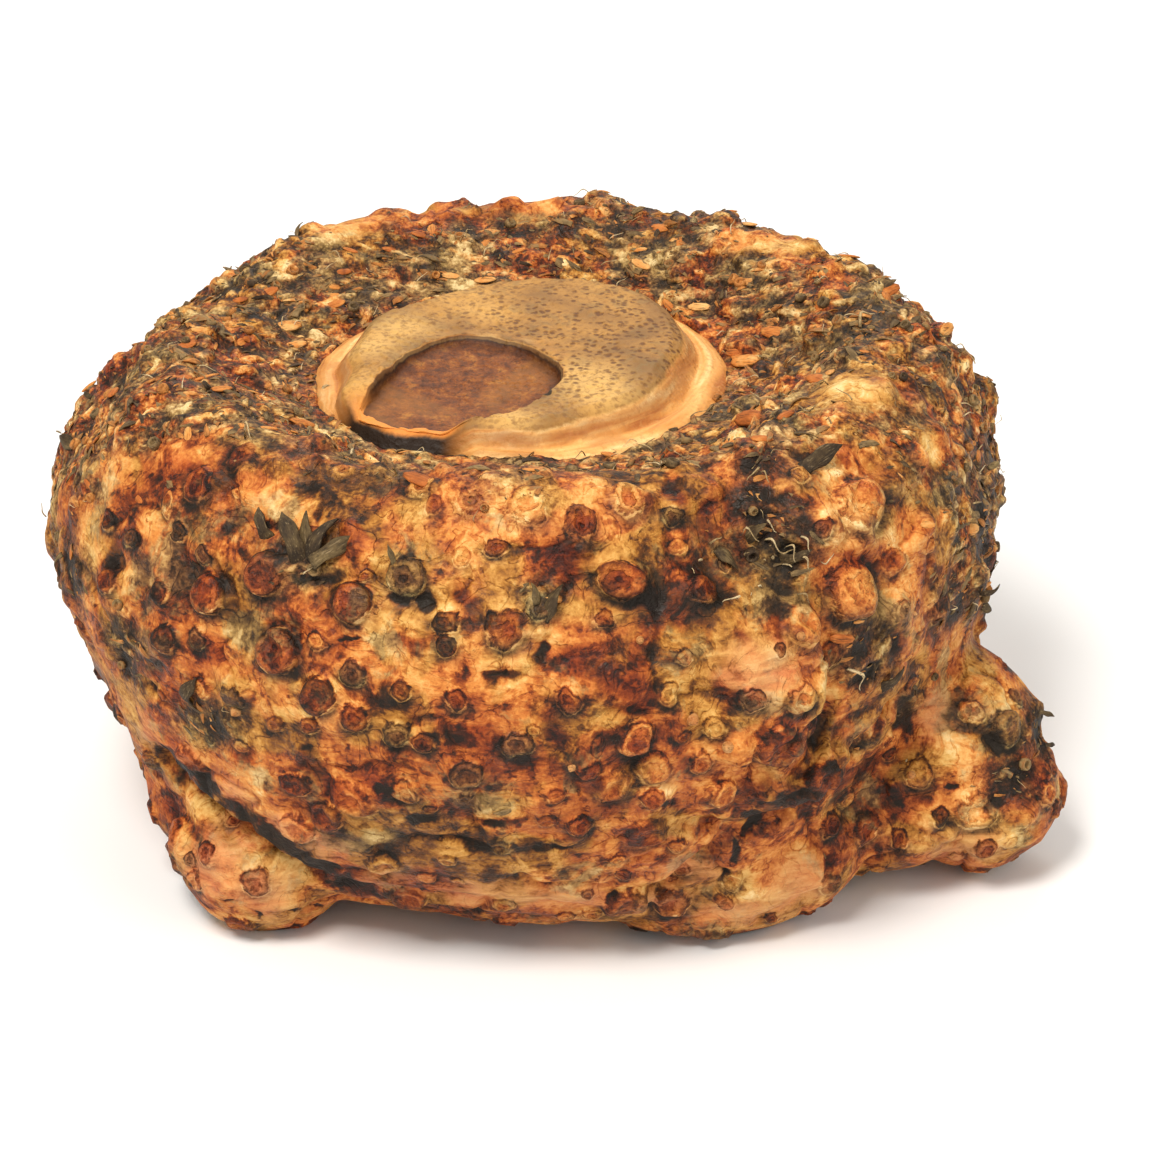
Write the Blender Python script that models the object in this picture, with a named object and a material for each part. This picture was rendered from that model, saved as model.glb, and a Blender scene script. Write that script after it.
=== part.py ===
"""Elephant foot yam: a broad corm with a dished crown, as dug, with its daughter corms still attached.

The corm grew as one piece, so it is one closed solid. Its front is -Y, +X is the side with the large
daughter corm, and it stands on z = 0 with its growing axis on the Z axis.

Sizes are in millimetres until the last step, which brings the solid to metres. A place on the corm is
an azimuth from the front towards +X and an elevation, both in degrees and seen from the corm's heart.
"""

import math
import random

import bmesh
import bpy
import numpy as np
from mathutils import Matrix, Vector, noise
from mathutils.bvhtree import BVHTree

METRES = 0.001

# Driving sizes of the mother corm.
CORM_WIDTH = 237
CORM_DEPTH = 232
CORM_HEIGHT = 127
HEART = Vector((0, 0, 60))

# The mother's outline, turned round its axis: share of its half width, share of its height.
PROFILE = (
    (0.00, 0.880),
    (0.24, 0.878),
    (0.45, 0.880),
    (0.58, 0.925),
    (0.71, 0.985),
    (0.83, 0.955),
    (0.93, 0.845),
    (0.99, 0.680),
    (0.985, 0.500),
    (0.93, 0.320),
    (0.85, 0.170),
    (0.73, 0.066),
    (0.57, 0.016),
    (0.46, -0.008),
    (0.24, -0.022),
    (0.00, -0.025),
)
PROFILE_STEPS = 8
TURN_STEPS = 200

# Daughter corms and what joins them to the mother: centre, half sizes, turn about Z.
DAUGHTERS = {
    "side_knob": ((105, -38, 32), (25, 26, 26), 0),
    "side_knob_end": ((113, -42, 20), (22, 22, 20), 0),
    "side_neck": ((86, -46, 23), (30, 22, 20), -18),
    "left_foot": ((-62, -66, 18), (23, 20, 20), 25),
    "left_foot_top": ((-72, -48, 24), (20, 20, 20), 0),
    "front_foot": ((46, -68, 17), (34, 20, 19), 10),
    "front_foot_end": ((65, -62, 20), (19, 20, 20), 0),
    "flank_lobe": ((54, -93, 79), (20, 14, 22), 30),
    "flank_lobe_low": ((62, -88, 56), (14, 12, 12), 36),
}
DAUGHTER_DETAIL = 5

# Fine mesh that the form is worked on, and how many triangles the finished solid keeps.
WORK_GRID = 1.7
WORK_SMOOTHING = 6
SOLID_TRIANGLES = 11600
FLOOR_SNAP = 0.1
SEED = 11

# Broad rises and hollows of the mother: azimuth, elevation, reach, rise.
SWELLINGS = (
    (0, 36, 30, 2.5),
    (40, 32, 20, 4.0),
    (28, 27, 16, -3.5),
    (62, 20, 28, 1.5),
    (-38, 36, 28, 1.5),
    (-78, -6, 38, -3.5),
    (-84, 28, 36, -5.0),
    (-18, -22, 26, -2.0),
    (12, 5, 26, 2.0),
    (98, 22, 34, 2.5),
    (150, 10, 36, -3.0),
    (-116, 34, 42, -8.0),
    (-155, -5, 34, 3.0),
    (180, 46, 34, 2.0),
)
SWELLING_FALL = 2.5
UNEVEN_GROWTH = ((60, 2.5), (24, 1.6))  # grain and height of the uneven growth, coarse and fine

# Deep creases where two growths press on each other: places along each one, depth, half width.
CREASES = (
    (((-52, -9), (-44, -12), (-36, -15), (-29, -20)), 6.0, 4.5),
    (((22, -8), (29, -11), (36, -9), (43, -4), (52, 1)), 4.0, 4.5),
    (((28, -11), (24, -15), (19, -21)), 3.5, 4.5),
    (((38, 15), (39, 9), (37, 2), (33, -2)), 3.0, 4.5),
)
CREASE_STEPS = 16

# Folds of loose skin round the mother's foot: heights between which they lie, spacing and height of a fold.
FOLD_HEIGHTS = (3, 34)
FOLD_SPACING = 7.5
FOLD_HEIGHT = 1.1
FOLD_WANDER = (38, 2.2)  # grain of the folds' wandering, and how many folds it shifts them by
FOLD_CLEAR = (1.05, 1.35)  # the folds fade out between these multiples of a daughter's size

# The scar that the old leaf stalk left on the crown: a low plug with a deeper oval pit in it.
SCAR_CENTRE = (0, 6)
SCAR_HALF = (50, 48)
SCAR_RISE = 8
SCAR_WALL = 0.84
SCAR_DISH = 1.5
SCAR_DISH_EDGE = 0.7
PIT_CENTRE = (-14, -11)
PIT_HALF = (25.5, 24)
PIT_TURN = 20
PIT_DEPTH = 6
PIT_WALL = 0.90
CROWN_FROM = 0.70  # share of the height above which the crown's faces lie

# Eyes, the ringed buds and root scars seen on the front: azimuth, elevation, radius, rise.
FRONT_EYES = (
    (-39, 18, 6.5, 2.4),
    (-32, 23, 7.0, 2.6),
    (-28, 15, 7.0, 2.4),
    (-20, 22, 6.0, 2.2),
    (-13, 26, 6.5, 2.4),
    (-8, 19, 5.0, 1.8),
    (-23, 11, 6.0, 2.0),
    (-14, 12, 5.5, 1.8),
    (-34, 9, 6.5, 2.2),
    (-46, 17, 6.0, 2.0),
    (-45, 11, 5.0, 1.6),
    (-56, 14, 6.0, 2.0),
    (-20, 8, 5.5, 1.8),
    (-14, 6, 5.5, 2.0),
    (-6, 3, 6.0, 2.2),
    (-1, 6, 5.0, 1.8),
    (-25, 3, 5.5, 1.8),
    (-35, -1, 5.5, 1.6),
    (-15, -1, 5.5, 1.8),
    (-11, -5, 5.5, 1.8),
    (-3, -6, 5.5, 1.8),
    (3, 22, 6.0, 2.0),
    (13, 26, 7.5, 2.8),
    (22, 23, 6.0, 2.2),
    (42, 17, 7.5, 2.6),
    (39, 26, 9.0, 3.2),
    (12, 14, 8.0, 2.2),
    (25, 18, 5.0, 1.6),
    (34, 8, 6.5, 2.4),
    (33, 15, 4.5, 1.6),
    (19, 16, 5.5, 1.8),
    (19, 9, 5.0, 2.6),
    (25, 4, 5.0, 2.8),
    (14, 6, 6.0, 2.2),
    (7, 5, 5.5, 2.0),
    (17, -2, 5.5, 1.8),
    (3, -1, 5.5, 1.8),
    (7, -6, 5.5, 1.8),
    (24, -3, 6.5, 2.4),
    (32, 3, 5.0, 2.0),
    (40, -3, 5.5, 2.2),
    (30, -4, 4.5, 2.0),
    (44, 6, 5.0, 1.8),
    (50, 13, 6.0, 2.0),
    (12, 36, 8.0, 1.8),
    (-9, 36, 7.0, 1.8),
)

# Eyes of the daughters, seen from the centre of the lobe that carries them.
DAUGHTER_EYES = {
    "side_knob": ((5, 20, 5, 1.8), (-30, 30, 5, 1.6), (40, 35, 5, 1.8), (90, 20, 5, 1.6), (150, 25, 5, 1.6)),
    "side_knob_end": ((28, 12, 5, 2.2), (-20, 5, 4, 1.6), (60, 30, 4.5, 2.2), (100, 0, 5, 1.6), (140, 10, 5, 1.8)),
    "side_neck": ((-10, 15, 4.5, 1.8), (15, 35, 4.5, 1.6), (30, 5, 4.5, 1.6)),
    "left_foot": ((-60, 12, 4.5, 1.8), (-20, 0, 4.5, 1.8), (20, -12, 4, 1.4), (-95, 0, 4.5, 1.6)),
}

# Eyes of the sides and the back stand in uneven rows: elevation, degrees between neighbours.
BACK_ROWS = ((-12, 13), (-2, 12), (8, 11), (18, 11), (28, 12), (37, 14))
BACK_FROM = (58, 304)  # azimuths between which the rows run, round the back
BACK_JITTER = (3.5, 2.5)
BACK_RADIUS = (4.8, 7.0)
BACK_RISE = (1.5, 2.6)
EYE_DIMPLE = 0.35

# Stubs of old roots and leaf bases, thick on the crown round the scar and down the right side.
CROWN_STUBS = 190
CROWN_STUB_RING = (55, 103)
RIM_STUBS = 70
RIM_STUB_SPREAD = ((30, 200), (18, 42))
STUB_RADIUS = (3.0, 4.8)
STUB_RISE = (1.6, 3.4)
STUB_TOP = 0.45


def direction(azimuth, elevation):
    """Unit vector towards an azimuth and an elevation."""
    a, e = math.radians(azimuth), math.radians(elevation)
    return Vector((math.sin(a) * math.cos(e), -math.cos(a) * math.cos(e), math.sin(e)))


def smoothstep(low, high, value):
    share = np.clip((value - low) / (high - low), 0.0, 1.0)
    return share * share * (3.0 - 2.0 * share)


def curve_through(points, steps):
    """Catmull-Rom curve through the points, with this many stretches between neighbours."""
    run = [np.array(p, float) for p in (points[0], *points, points[-1])]
    found = []
    for before, start, end, after in zip(run, run[1:], run[2:], run[3:]):
        for t in np.arange(steps) / steps:
            slope = end - before
            bend = 2 * before - 5 * start + 4 * end - after
            twist = 3 * start - before - 3 * end + after
            found.append((2 * start + slope * t + bend * t**2 + twist * t**3) / 2)
    return [*found, run[-1]]


def add_mother(bm):
    """The turned body of the mother corm."""
    outline = curve_through(PROFILE, PROFILE_STEPS)
    run = [bm.verts.new((share * CORM_WIDTH / 2, 0, height * CORM_HEIGHT)) for share, height in outline]
    edges = [bm.edges.new(pair) for pair in zip(run, run[1:])]
    bmesh.ops.spin(bm, geom=run + edges, axis=(0, 0, 1), angle=2 * math.pi, steps=TURN_STEPS, use_merge=True)
    bmesh.ops.remove_doubles(bm, verts=bm.verts, dist=0.01)
    bmesh.ops.scale(bm, vec=(1, CORM_DEPTH / CORM_WIDTH, 1), verts=bm.verts)
    bmesh.ops.recalc_face_normals(bm, faces=bm.faces)


def add_daughter(bm, centre, half, turn):
    """One rounded lobe of a daughter corm, set well into what it grows from."""
    place = Matrix.Translation(centre) @ Matrix.Rotation(math.radians(turn), 4, "Z") @ Matrix.Diagonal((*half, 1))
    bmesh.ops.create_icosphere(bm, subdivisions=DAUGHTER_DETAIL, radius=1, matrix=place)


def after_modifier(mesh, kind, **settings):
    """The mesh after one modifier of this kind."""
    obj = bpy.data.objects.new(kind, mesh)
    bpy.context.scene.collection.objects.link(obj)
    modifier = obj.modifiers.new(kind, kind)
    for key, value in settings.items():
        setattr(modifier, key, value)
    graph = bpy.context.evaluated_depsgraph_get()
    result = bpy.data.meshes.new_from_object(obj.evaluated_get(graph))
    bpy.data.objects.remove(obj)
    return result


def joined_form():
    """Mother and daughters grown together into one skin of even mesh."""
    bm = bmesh.new()
    add_mother(bm)
    for centre, half, turn in DAUGHTERS.values():
        add_daughter(bm, centre, half, turn)
    mesh = bpy.data.meshes.new("form")
    bm.to_mesh(mesh)
    bm.free()
    mesh = after_modifier(mesh, "REMESH", mode="VOXEL", voxel_size=WORK_GRID)
    return after_modifier(mesh, "SMOOTH", factor=0.5, iterations=WORK_SMOOTHING)


def points_of(mesh):
    found = np.empty(len(mesh.vertices) * 3, np.float32)
    mesh.vertices.foreach_get("co", found)
    return found.reshape(-1, 3).astype(float)


def normals_of(mesh):
    found = np.empty(len(mesh.vertices) * 3, np.float32)
    mesh.vertex_normals.foreach_get("vector", found)
    return found.reshape(-1, 3).astype(float)


def set_points(mesh, points):
    mesh.vertices.foreach_set("co", points.astype(np.float32).ravel())
    mesh.update()


def move_out(mesh, amount):
    """Moves each vertex along its normal."""
    set_points(mesh, points_of(mesh) + normals_of(mesh) * amount[:, None])


def surface_of(mesh):
    return BVHTree.FromPolygons([v.co for v in mesh.vertices], [p.vertices[:] for p in mesh.polygons])


def noise_at(points, grain):
    """Smooth noise between about -1 and 1, with lumps of this size."""
    return np.array([noise.noise(Vector(p) / grain + Vector((grain,) * 3)) for p in points])


def swell(mesh):
    """Broad rises and hollows, and the uneven growth of the whole form."""
    surface, points = surface_of(mesh), points_of(mesh)
    amount = sum(height * noise_at(points, grain) for grain, height in UNEVEN_GROWTH)
    for azimuth, elevation, reach, rise in SWELLINGS:
        spot = np.array(surface.ray_cast(HEART, direction(azimuth, elevation))[0])
        away = np.linalg.norm(points - spot, axis=1) / reach
        amount += rise * np.exp(-SWELLING_FALL * away**2)
    move_out(mesh, amount)


def crease(mesh):
    """The deep creases between growths, each pressed in along a run of places."""
    surface, points = surface_of(mesh), points_of(mesh)
    amount = np.zeros(len(points))
    for places, depth, half_width in CREASES:
        nearest = np.full(len(points), np.inf)
        for azimuth, elevation in curve_through(places, CREASE_STEPS):
            spot = np.array(surface.ray_cast(HEART, direction(azimuth, elevation))[0])
            nearest = np.minimum(nearest, np.linalg.norm(points - spot, axis=1))
        amount = np.minimum(amount, -depth * smoothstep(half_width, 0, nearest))
    move_out(mesh, amount)


def fold(mesh):
    """Loose skin folded round the mother's foot."""
    points = points_of(mesh)
    low, high = FOLD_HEIGHTS
    middle = (low + high) / 2
    grain, shift = FOLD_WANDER
    place = points[:, 2] / FOLD_SPACING + shift * noise_at(points * (1, 1, 0.3), grain)
    share = smoothstep(low, middle, points[:, 2]) * smoothstep(high, middle, points[:, 2])
    for centre, half, _ in DAUGHTERS.values():
        share *= smoothstep(*FOLD_CLEAR, np.linalg.norm((points - centre) / half, axis=1))
    move_out(mesh, FOLD_HEIGHT * share * np.sin(2 * math.pi * place))


def press_scar(mesh):
    """The leaf scar's plug, raised in the crown's dish, and the oval pit in it."""
    points, normals = points_of(mesh), normals_of(mesh)
    crown = (points[:, 2] > CORM_HEIGHT * CROWN_FROM) & (normals[:, 2] > 0)
    out = np.linalg.norm((points[:, :2] - SCAR_CENTRE) / SCAR_HALF, axis=1)
    rise = SCAR_RISE * smoothstep(1, SCAR_WALL, out) - SCAR_DISH * smoothstep(SCAR_DISH_EDGE, 0, out)
    turn = math.radians(PIT_TURN)
    along = (math.cos(turn), math.sin(turn))
    across = (-math.sin(turn), math.cos(turn))
    from_pit = (points[:, :2] - PIT_CENTRE) @ np.array((along, across)).T / PIT_HALF
    rise -= PIT_DEPTH * smoothstep(1, PIT_WALL, np.linalg.norm(from_pit, axis=1))
    points[:, 2] += np.where(crown, rise, 0)
    set_points(mesh, points)


def raise_bumps(mesh, bumps, shape):
    """Raises round bumps: each is a spot, a radius and a rise, and shape gives the height at a share of the radius."""
    points = points_of(mesh)
    amount = np.zeros(len(points))
    for spot, radius, rise in bumps:
        share = np.linalg.norm(points - spot, axis=1) / radius
        near = share < 1
        amount[near] = np.maximum(amount[near], rise * shape(share[near]))
    move_out(mesh, amount)


def eye_shape(share):
    """A low dome with a dimple in its middle."""
    return smoothstep(1, 0.3, share) - EYE_DIMPLE * smoothstep(0.35, 0, share)


def stub_shape(share):
    """A steep-sided stub."""
    return smoothstep(1, STUB_TOP, share)


def back_places():
    """Uneven rows of eyes round the sides and the back: azimuth, elevation, radius, rise."""
    first, last = BACK_FROM
    for row, (elevation, step) in enumerate(BACK_ROWS):
        azimuth = first + step * (row % 2) / 2
        while azimuth < last:
            yield (
                azimuth + random.uniform(-1, 1) * BACK_JITTER[0],
                elevation + random.uniform(-1, 1) * BACK_JITTER[1],
                random.uniform(*BACK_RADIUS),
                random.uniform(*BACK_RISE),
            )
            azimuth += step


def eyes(surface):
    """Every eye of the corm: spot, radius, rise."""
    seen_from = [(HEART, place) for place in (*FRONT_EYES, *back_places())]
    for name, places in DAUGHTER_EYES.items():
        seen_from += [(Vector(DAUGHTERS[name][0]), place) for place in places]
    for centre, (azimuth, elevation, radius, rise) in seen_from:
        spot = surface.ray_cast(centre, direction(azimuth, elevation))[0]
        yield np.array(spot), radius, rise


def stubs(surface):
    """Stubs of old roots and leaf bases: spot, radius, rise."""
    down = Vector((0, 0, -1))
    spots = []
    for _ in range(CROWN_STUBS):
        reach = math.sqrt(random.uniform(*(r * r for r in CROWN_STUB_RING)))
        above = direction(random.uniform(0, 360), 0) * reach + Vector((0, 0, 2 * CORM_HEIGHT))
        spots.append(surface.ray_cast(above, down)[0])
    azimuths, elevations = RIM_STUB_SPREAD
    for _ in range(RIM_STUBS):
        towards = direction(random.uniform(*azimuths), random.uniform(*elevations))
        spots.append(surface.ray_cast(HEART, towards)[0])
    for spot in spots:
        yield np.array(spot), random.uniform(*STUB_RADIUS), random.uniform(*STUB_RISE)


def stand_on_floor(mesh):
    """Flattens what would lie below the floor, as the corm's weight does."""
    points = points_of(mesh)
    points[points[:, 2] < FLOOR_SNAP, 2] = 0
    set_points(mesh, points)


def skin_material():
    material = bpy.data.materials.new("corm skin")
    material.use_nodes = True
    shader = material.node_tree.nodes["Principled BSDF"]
    shader.inputs["Base Color"].default_value = (0.42, 0.20, 0.07, 1)
    shader.inputs["Roughness"].default_value = 0.7
    return material


def main():
    for obj in list(bpy.data.objects):
        bpy.data.objects.remove(obj)
    noise.seed_set(SEED)
    random.seed(SEED)
    mesh = joined_form()
    swell(mesh)
    crease(mesh)
    fold(mesh)
    press_scar(mesh)
    surface = surface_of(mesh)
    raise_bumps(mesh, eyes(surface), eye_shape)
    raise_bumps(mesh, stubs(surface), stub_shape)
    stand_on_floor(mesh)
    mesh = after_modifier(mesh, "TRIANGULATE")
    mesh = after_modifier(mesh, "DECIMATE", ratio=SOLID_TRIANGLES / len(mesh.polygons))
    stand_on_floor(mesh)
    mesh.transform(Matrix.Scale(METRES, 4))
    mesh.name = "corm"
    mesh.materials.append(skin_material())
    bpy.context.scene.collection.objects.link(bpy.data.objects.new("corm", mesh))


if __name__ == "__main__":
    main()
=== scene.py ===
"""The looks of an elephant foot yam: ringed skin, leaf scar, and the dry scales and buds on its crown."""

import itertools
import math

import bmesh
import bpy
import numpy as np
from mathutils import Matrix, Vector
from mathutils.bvhtree import BVHTree


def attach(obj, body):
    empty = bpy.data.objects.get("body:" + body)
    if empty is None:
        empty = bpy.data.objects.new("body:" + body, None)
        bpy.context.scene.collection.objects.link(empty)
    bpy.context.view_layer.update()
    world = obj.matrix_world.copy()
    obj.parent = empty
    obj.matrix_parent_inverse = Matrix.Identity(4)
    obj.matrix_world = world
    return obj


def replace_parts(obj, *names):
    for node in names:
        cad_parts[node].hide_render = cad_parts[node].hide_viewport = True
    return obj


# Lengths are in mm unless a name says otherwise. The scene itself is in metres.
METRES = 0.001
SEED = 23
HEART = np.array((0.0, 0.0, 60.0))

# The photograph's camera, and its frame in pixels.
FRAME = 1170
SENSOR = 36.0
LENS = 114.5
CAMERA_RISE = math.radians(27)
CAMERA_REACH = 950.0
AIM = np.array((15.5, 0.0, 56.0))
FOCAL = LENS / SENSOR * FRAME
RIGHT = np.array((1.0, 0.0, 0.0))
AHEAD = np.array((0.0, math.cos(CAMERA_RISE), -math.sin(CAMERA_RISE)))
UP = np.array((0.0, math.sin(CAMERA_RISE), math.cos(CAMERA_RISE)))
CAMERA = AIM - AHEAD * CAMERA_REACH
PIXEL = CAMERA_REACH / FOCAL

# The skin's mesh.
SKIN_GRID = 0.9
SKIN_SMOOTHING, SMOOTHING_ROUNDS = 0.5, 14
SKIN_TRIANGLES = 190000
MERGE_REACH, RING_MERGE_REACH = 0.01, 0.1
FLOOR_FADE = (0.2, 5.0)

# A lattice's cells are mixed with these large odd numbers, and seeds lie this many cells apart.
CELL_MIXERS = (73856093, 19349663, 83492791)
CELL_STIR = 1274126177
CELL_VALUES = 65535
SEED_STEP = 37.7
# Too short to have a direction, too near upright to have a level one, and the least chance of a spot.
SHORTEST, NEAR_UPRIGHT, LEAST_CHANCE = 1e-9, 0.05, 1e-6

# Noises of shapes: how far they reach in mm, the size of their lumps in mm, their octaves and their seed.
CROWN_RAGGED = (9.0, 17.0, 3, 1)
LUMPS = (1.5, 14.0, 2, 2)
WRINKLES = (0.45, (16.0, 16.0, 3.6), 3, 3)
RIDGES = (1.0, 8.5, 3, 4)
CREASES = (1.0, 19.0, 3, 6)
FLOW = (0.9, 26.0, 1, 61)
SCAR_SWELL = (1.1, 22.0, 3, 11)
SCAR_WARTS = (1.0, 1.9, 1, 12)
PIT_CRUMBS = (0.5, 4.5, 3, 13)
LIP_TEETH = (0.5, 4.0, 2, 14)
COLLAR_FOLDS = (0.9, 1.0, 3, 15)
STIPPLE_RAGGED = (9.0, 12.0, 2, 16)
PIT_RAGGED = (0.7, 5.0, 3, 81)
PLUG_RAGGED = (1.4, 9.0, 3, 82)
COLLAR_RAGGED = (1.2, 8.0, 3, 83)

# Warps, which make the outline of what is measured from the moved points ragged: reach, size and seed.
MARK_WARP = (3.6, 5.5, 31)
EYE_WARP = (1.1, 4.5, 51)
MAT_WARP = (0.7, 3.5, 71)

# The lowest elevation of the flaky crown, for azimuths round the corm with 0 at the camera.
CROWN_EDGE = (
    (-180, 34), (-150, 27), (-120, 18), (-95, 10), (-78, 12), (-62, 24), (-45, 34), (-25, 38), (0, 39),
    (25, 38), (42, 36), (55, 22), (68, 4), (85, -6), (105, -4), (130, 12), (155, 26), (180, 34),
)
CROWN_BLUR = 5.0

# Eyes of the skin by the photograph: pixel across, pixel down, radius in pixels and tone.
# Tones run from 0 for a cream ring, over gold, russet and grey-green, to 1 for black.
CREAM, GOLD, RUSSET, GREY, BLACK = 0.0, 0.25, 0.5, 0.75, 1.0
EYES_SEEN = (
    (203, 592, 18, RUSSET), (262, 574, 19, RUSSET), (275, 650, 19, RUSSET), (351, 603, 16, RUSSET),
    (508, 629, 15, RUSSET), (623, 580, 20, RUSSET), (707, 588, 14, RUSSET), (354, 719, 11, RUSSET),
    (496, 549, 9, RUSSET), (105, 580, 11, RUSSET), (171, 503, 10, CREAM), (803, 701, 15, CREAM),
    (726, 795, 12, CREAM), (635, 747, 13, CREAM), (422, 742, 10, RUSSET), (589, 772, 10, RUSSET),
    (581, 826, 12, RUSSET), (830, 826, 10, RUSSET), (918, 775, 12, GOLD), (972, 712, 12, CREAM),
    (1047, 795, 11, CREAM), (205, 855, 11, RUSSET), (255, 883, 12, RUSSET), (627, 497, 17, CREAM),
    (423, 487, 13, CREAM), (822, 528, 9, RUSSET), (857, 506, 26, GOLD), (857, 590, 25, GOLD),
    (405, 578, 15, GREY), (319, 699, 16, BLACK), (179, 533, 9, BLACK), (110, 519, 10, BLACK),
    (132, 539, 10, GREY), (160, 592, 10, BLACK), (167, 639, 10, BLACK), (197, 639, 9, GREY),
    (305, 568, 10, RUSSET), (447, 622, 10, BLACK), (447, 648, 9, BLACK), (352, 673, 11, GREY),
    (401, 692, 9, BLACK), (396, 736, 11, GREY), (516, 746, 12, GREY), (539, 606, 12, GREY),
    (310, 725, 9, RUSSET), (467, 776, 13, GREY), (640, 735, 11, CREAM), (752, 700, 11, RUSSET),
    (570, 700, 10, RUSSET), (655, 800, 10, RUSSET), (900, 840, 9, RUSSET), (985, 850, 10, RUSSET),
    (940, 815, 9, BLACK), (230, 700, 11, GREY), (455, 700, 9, RUSSET), (700, 760, 10, GOLD),
)
TONES = (CREAM, GOLD, RUSSET, GREY, BLACK)
TONE_VALUES = (0.66, 0.58, 0.33, 0.36, 0.12)
TONE_CORES = (-0.34, 0.1, -0.12, -0.16, 0.0)
# Spare eyes fill the rest of the skin: how many, their radii and tones, how plain they are, and their room.
SPARE_EYES = 360
SPARE_EYE_RADII = (1.7, 5.6)
SPARE_TONES = (CREAM, CREAM, GOLD, GOLD, RUSSET, RUSSET, RUSSET, RUSSET, GREY, BLACK)
SPARE_EYE_FAVOUR = 1.6
SPARE_EYE_SHARES = (0.55, 1.0)
SPARE_EYE_TRIES = 8
SPARE_EYE_ROOM = 1.12
EYE_LOWEST = -42.0
EYE_LOW_BLUR = 12.0
EYE_ASPECTS = (0.72, 1.0)
EYE_PIXEL_MARGIN = 1.1
# An eye's relief in mm, with distances in its radii.
EYE_FARTHEST = 3.0
EYE_SPAN = 2.6
EYE_MOUND = (1.3, 0.5, 1.45)
EYE_RING = (0.35, 0.82, 0.16)
EYE_DENT = (1.1, 0.0, 0.42)
EYE_BOSS = (0.45, 0.0, 0.16)
EYE_MOAT = (0.4, 1.18, 0.14)
EYE_FULL_RADIUS = 4.0
EYE_DEPTHS = (0.35, 1.6)
# The shade under an eye, its dark core, and how cool and how red the eyes and flaky marks look.
EYE_DUSK = (0.17, 1.15, 0.4)
DUSK_LEAN = 0.6
EYE_CORE = 0.38
EYE_EDGE = 1.1
GREY_EYE_COOL, FLAKY_COOL, DUSK_COOL = 0.5, 0.5, 0.45
CORE_RED, RUSSET_EYE_RED = 0.9, 0.6

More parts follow.
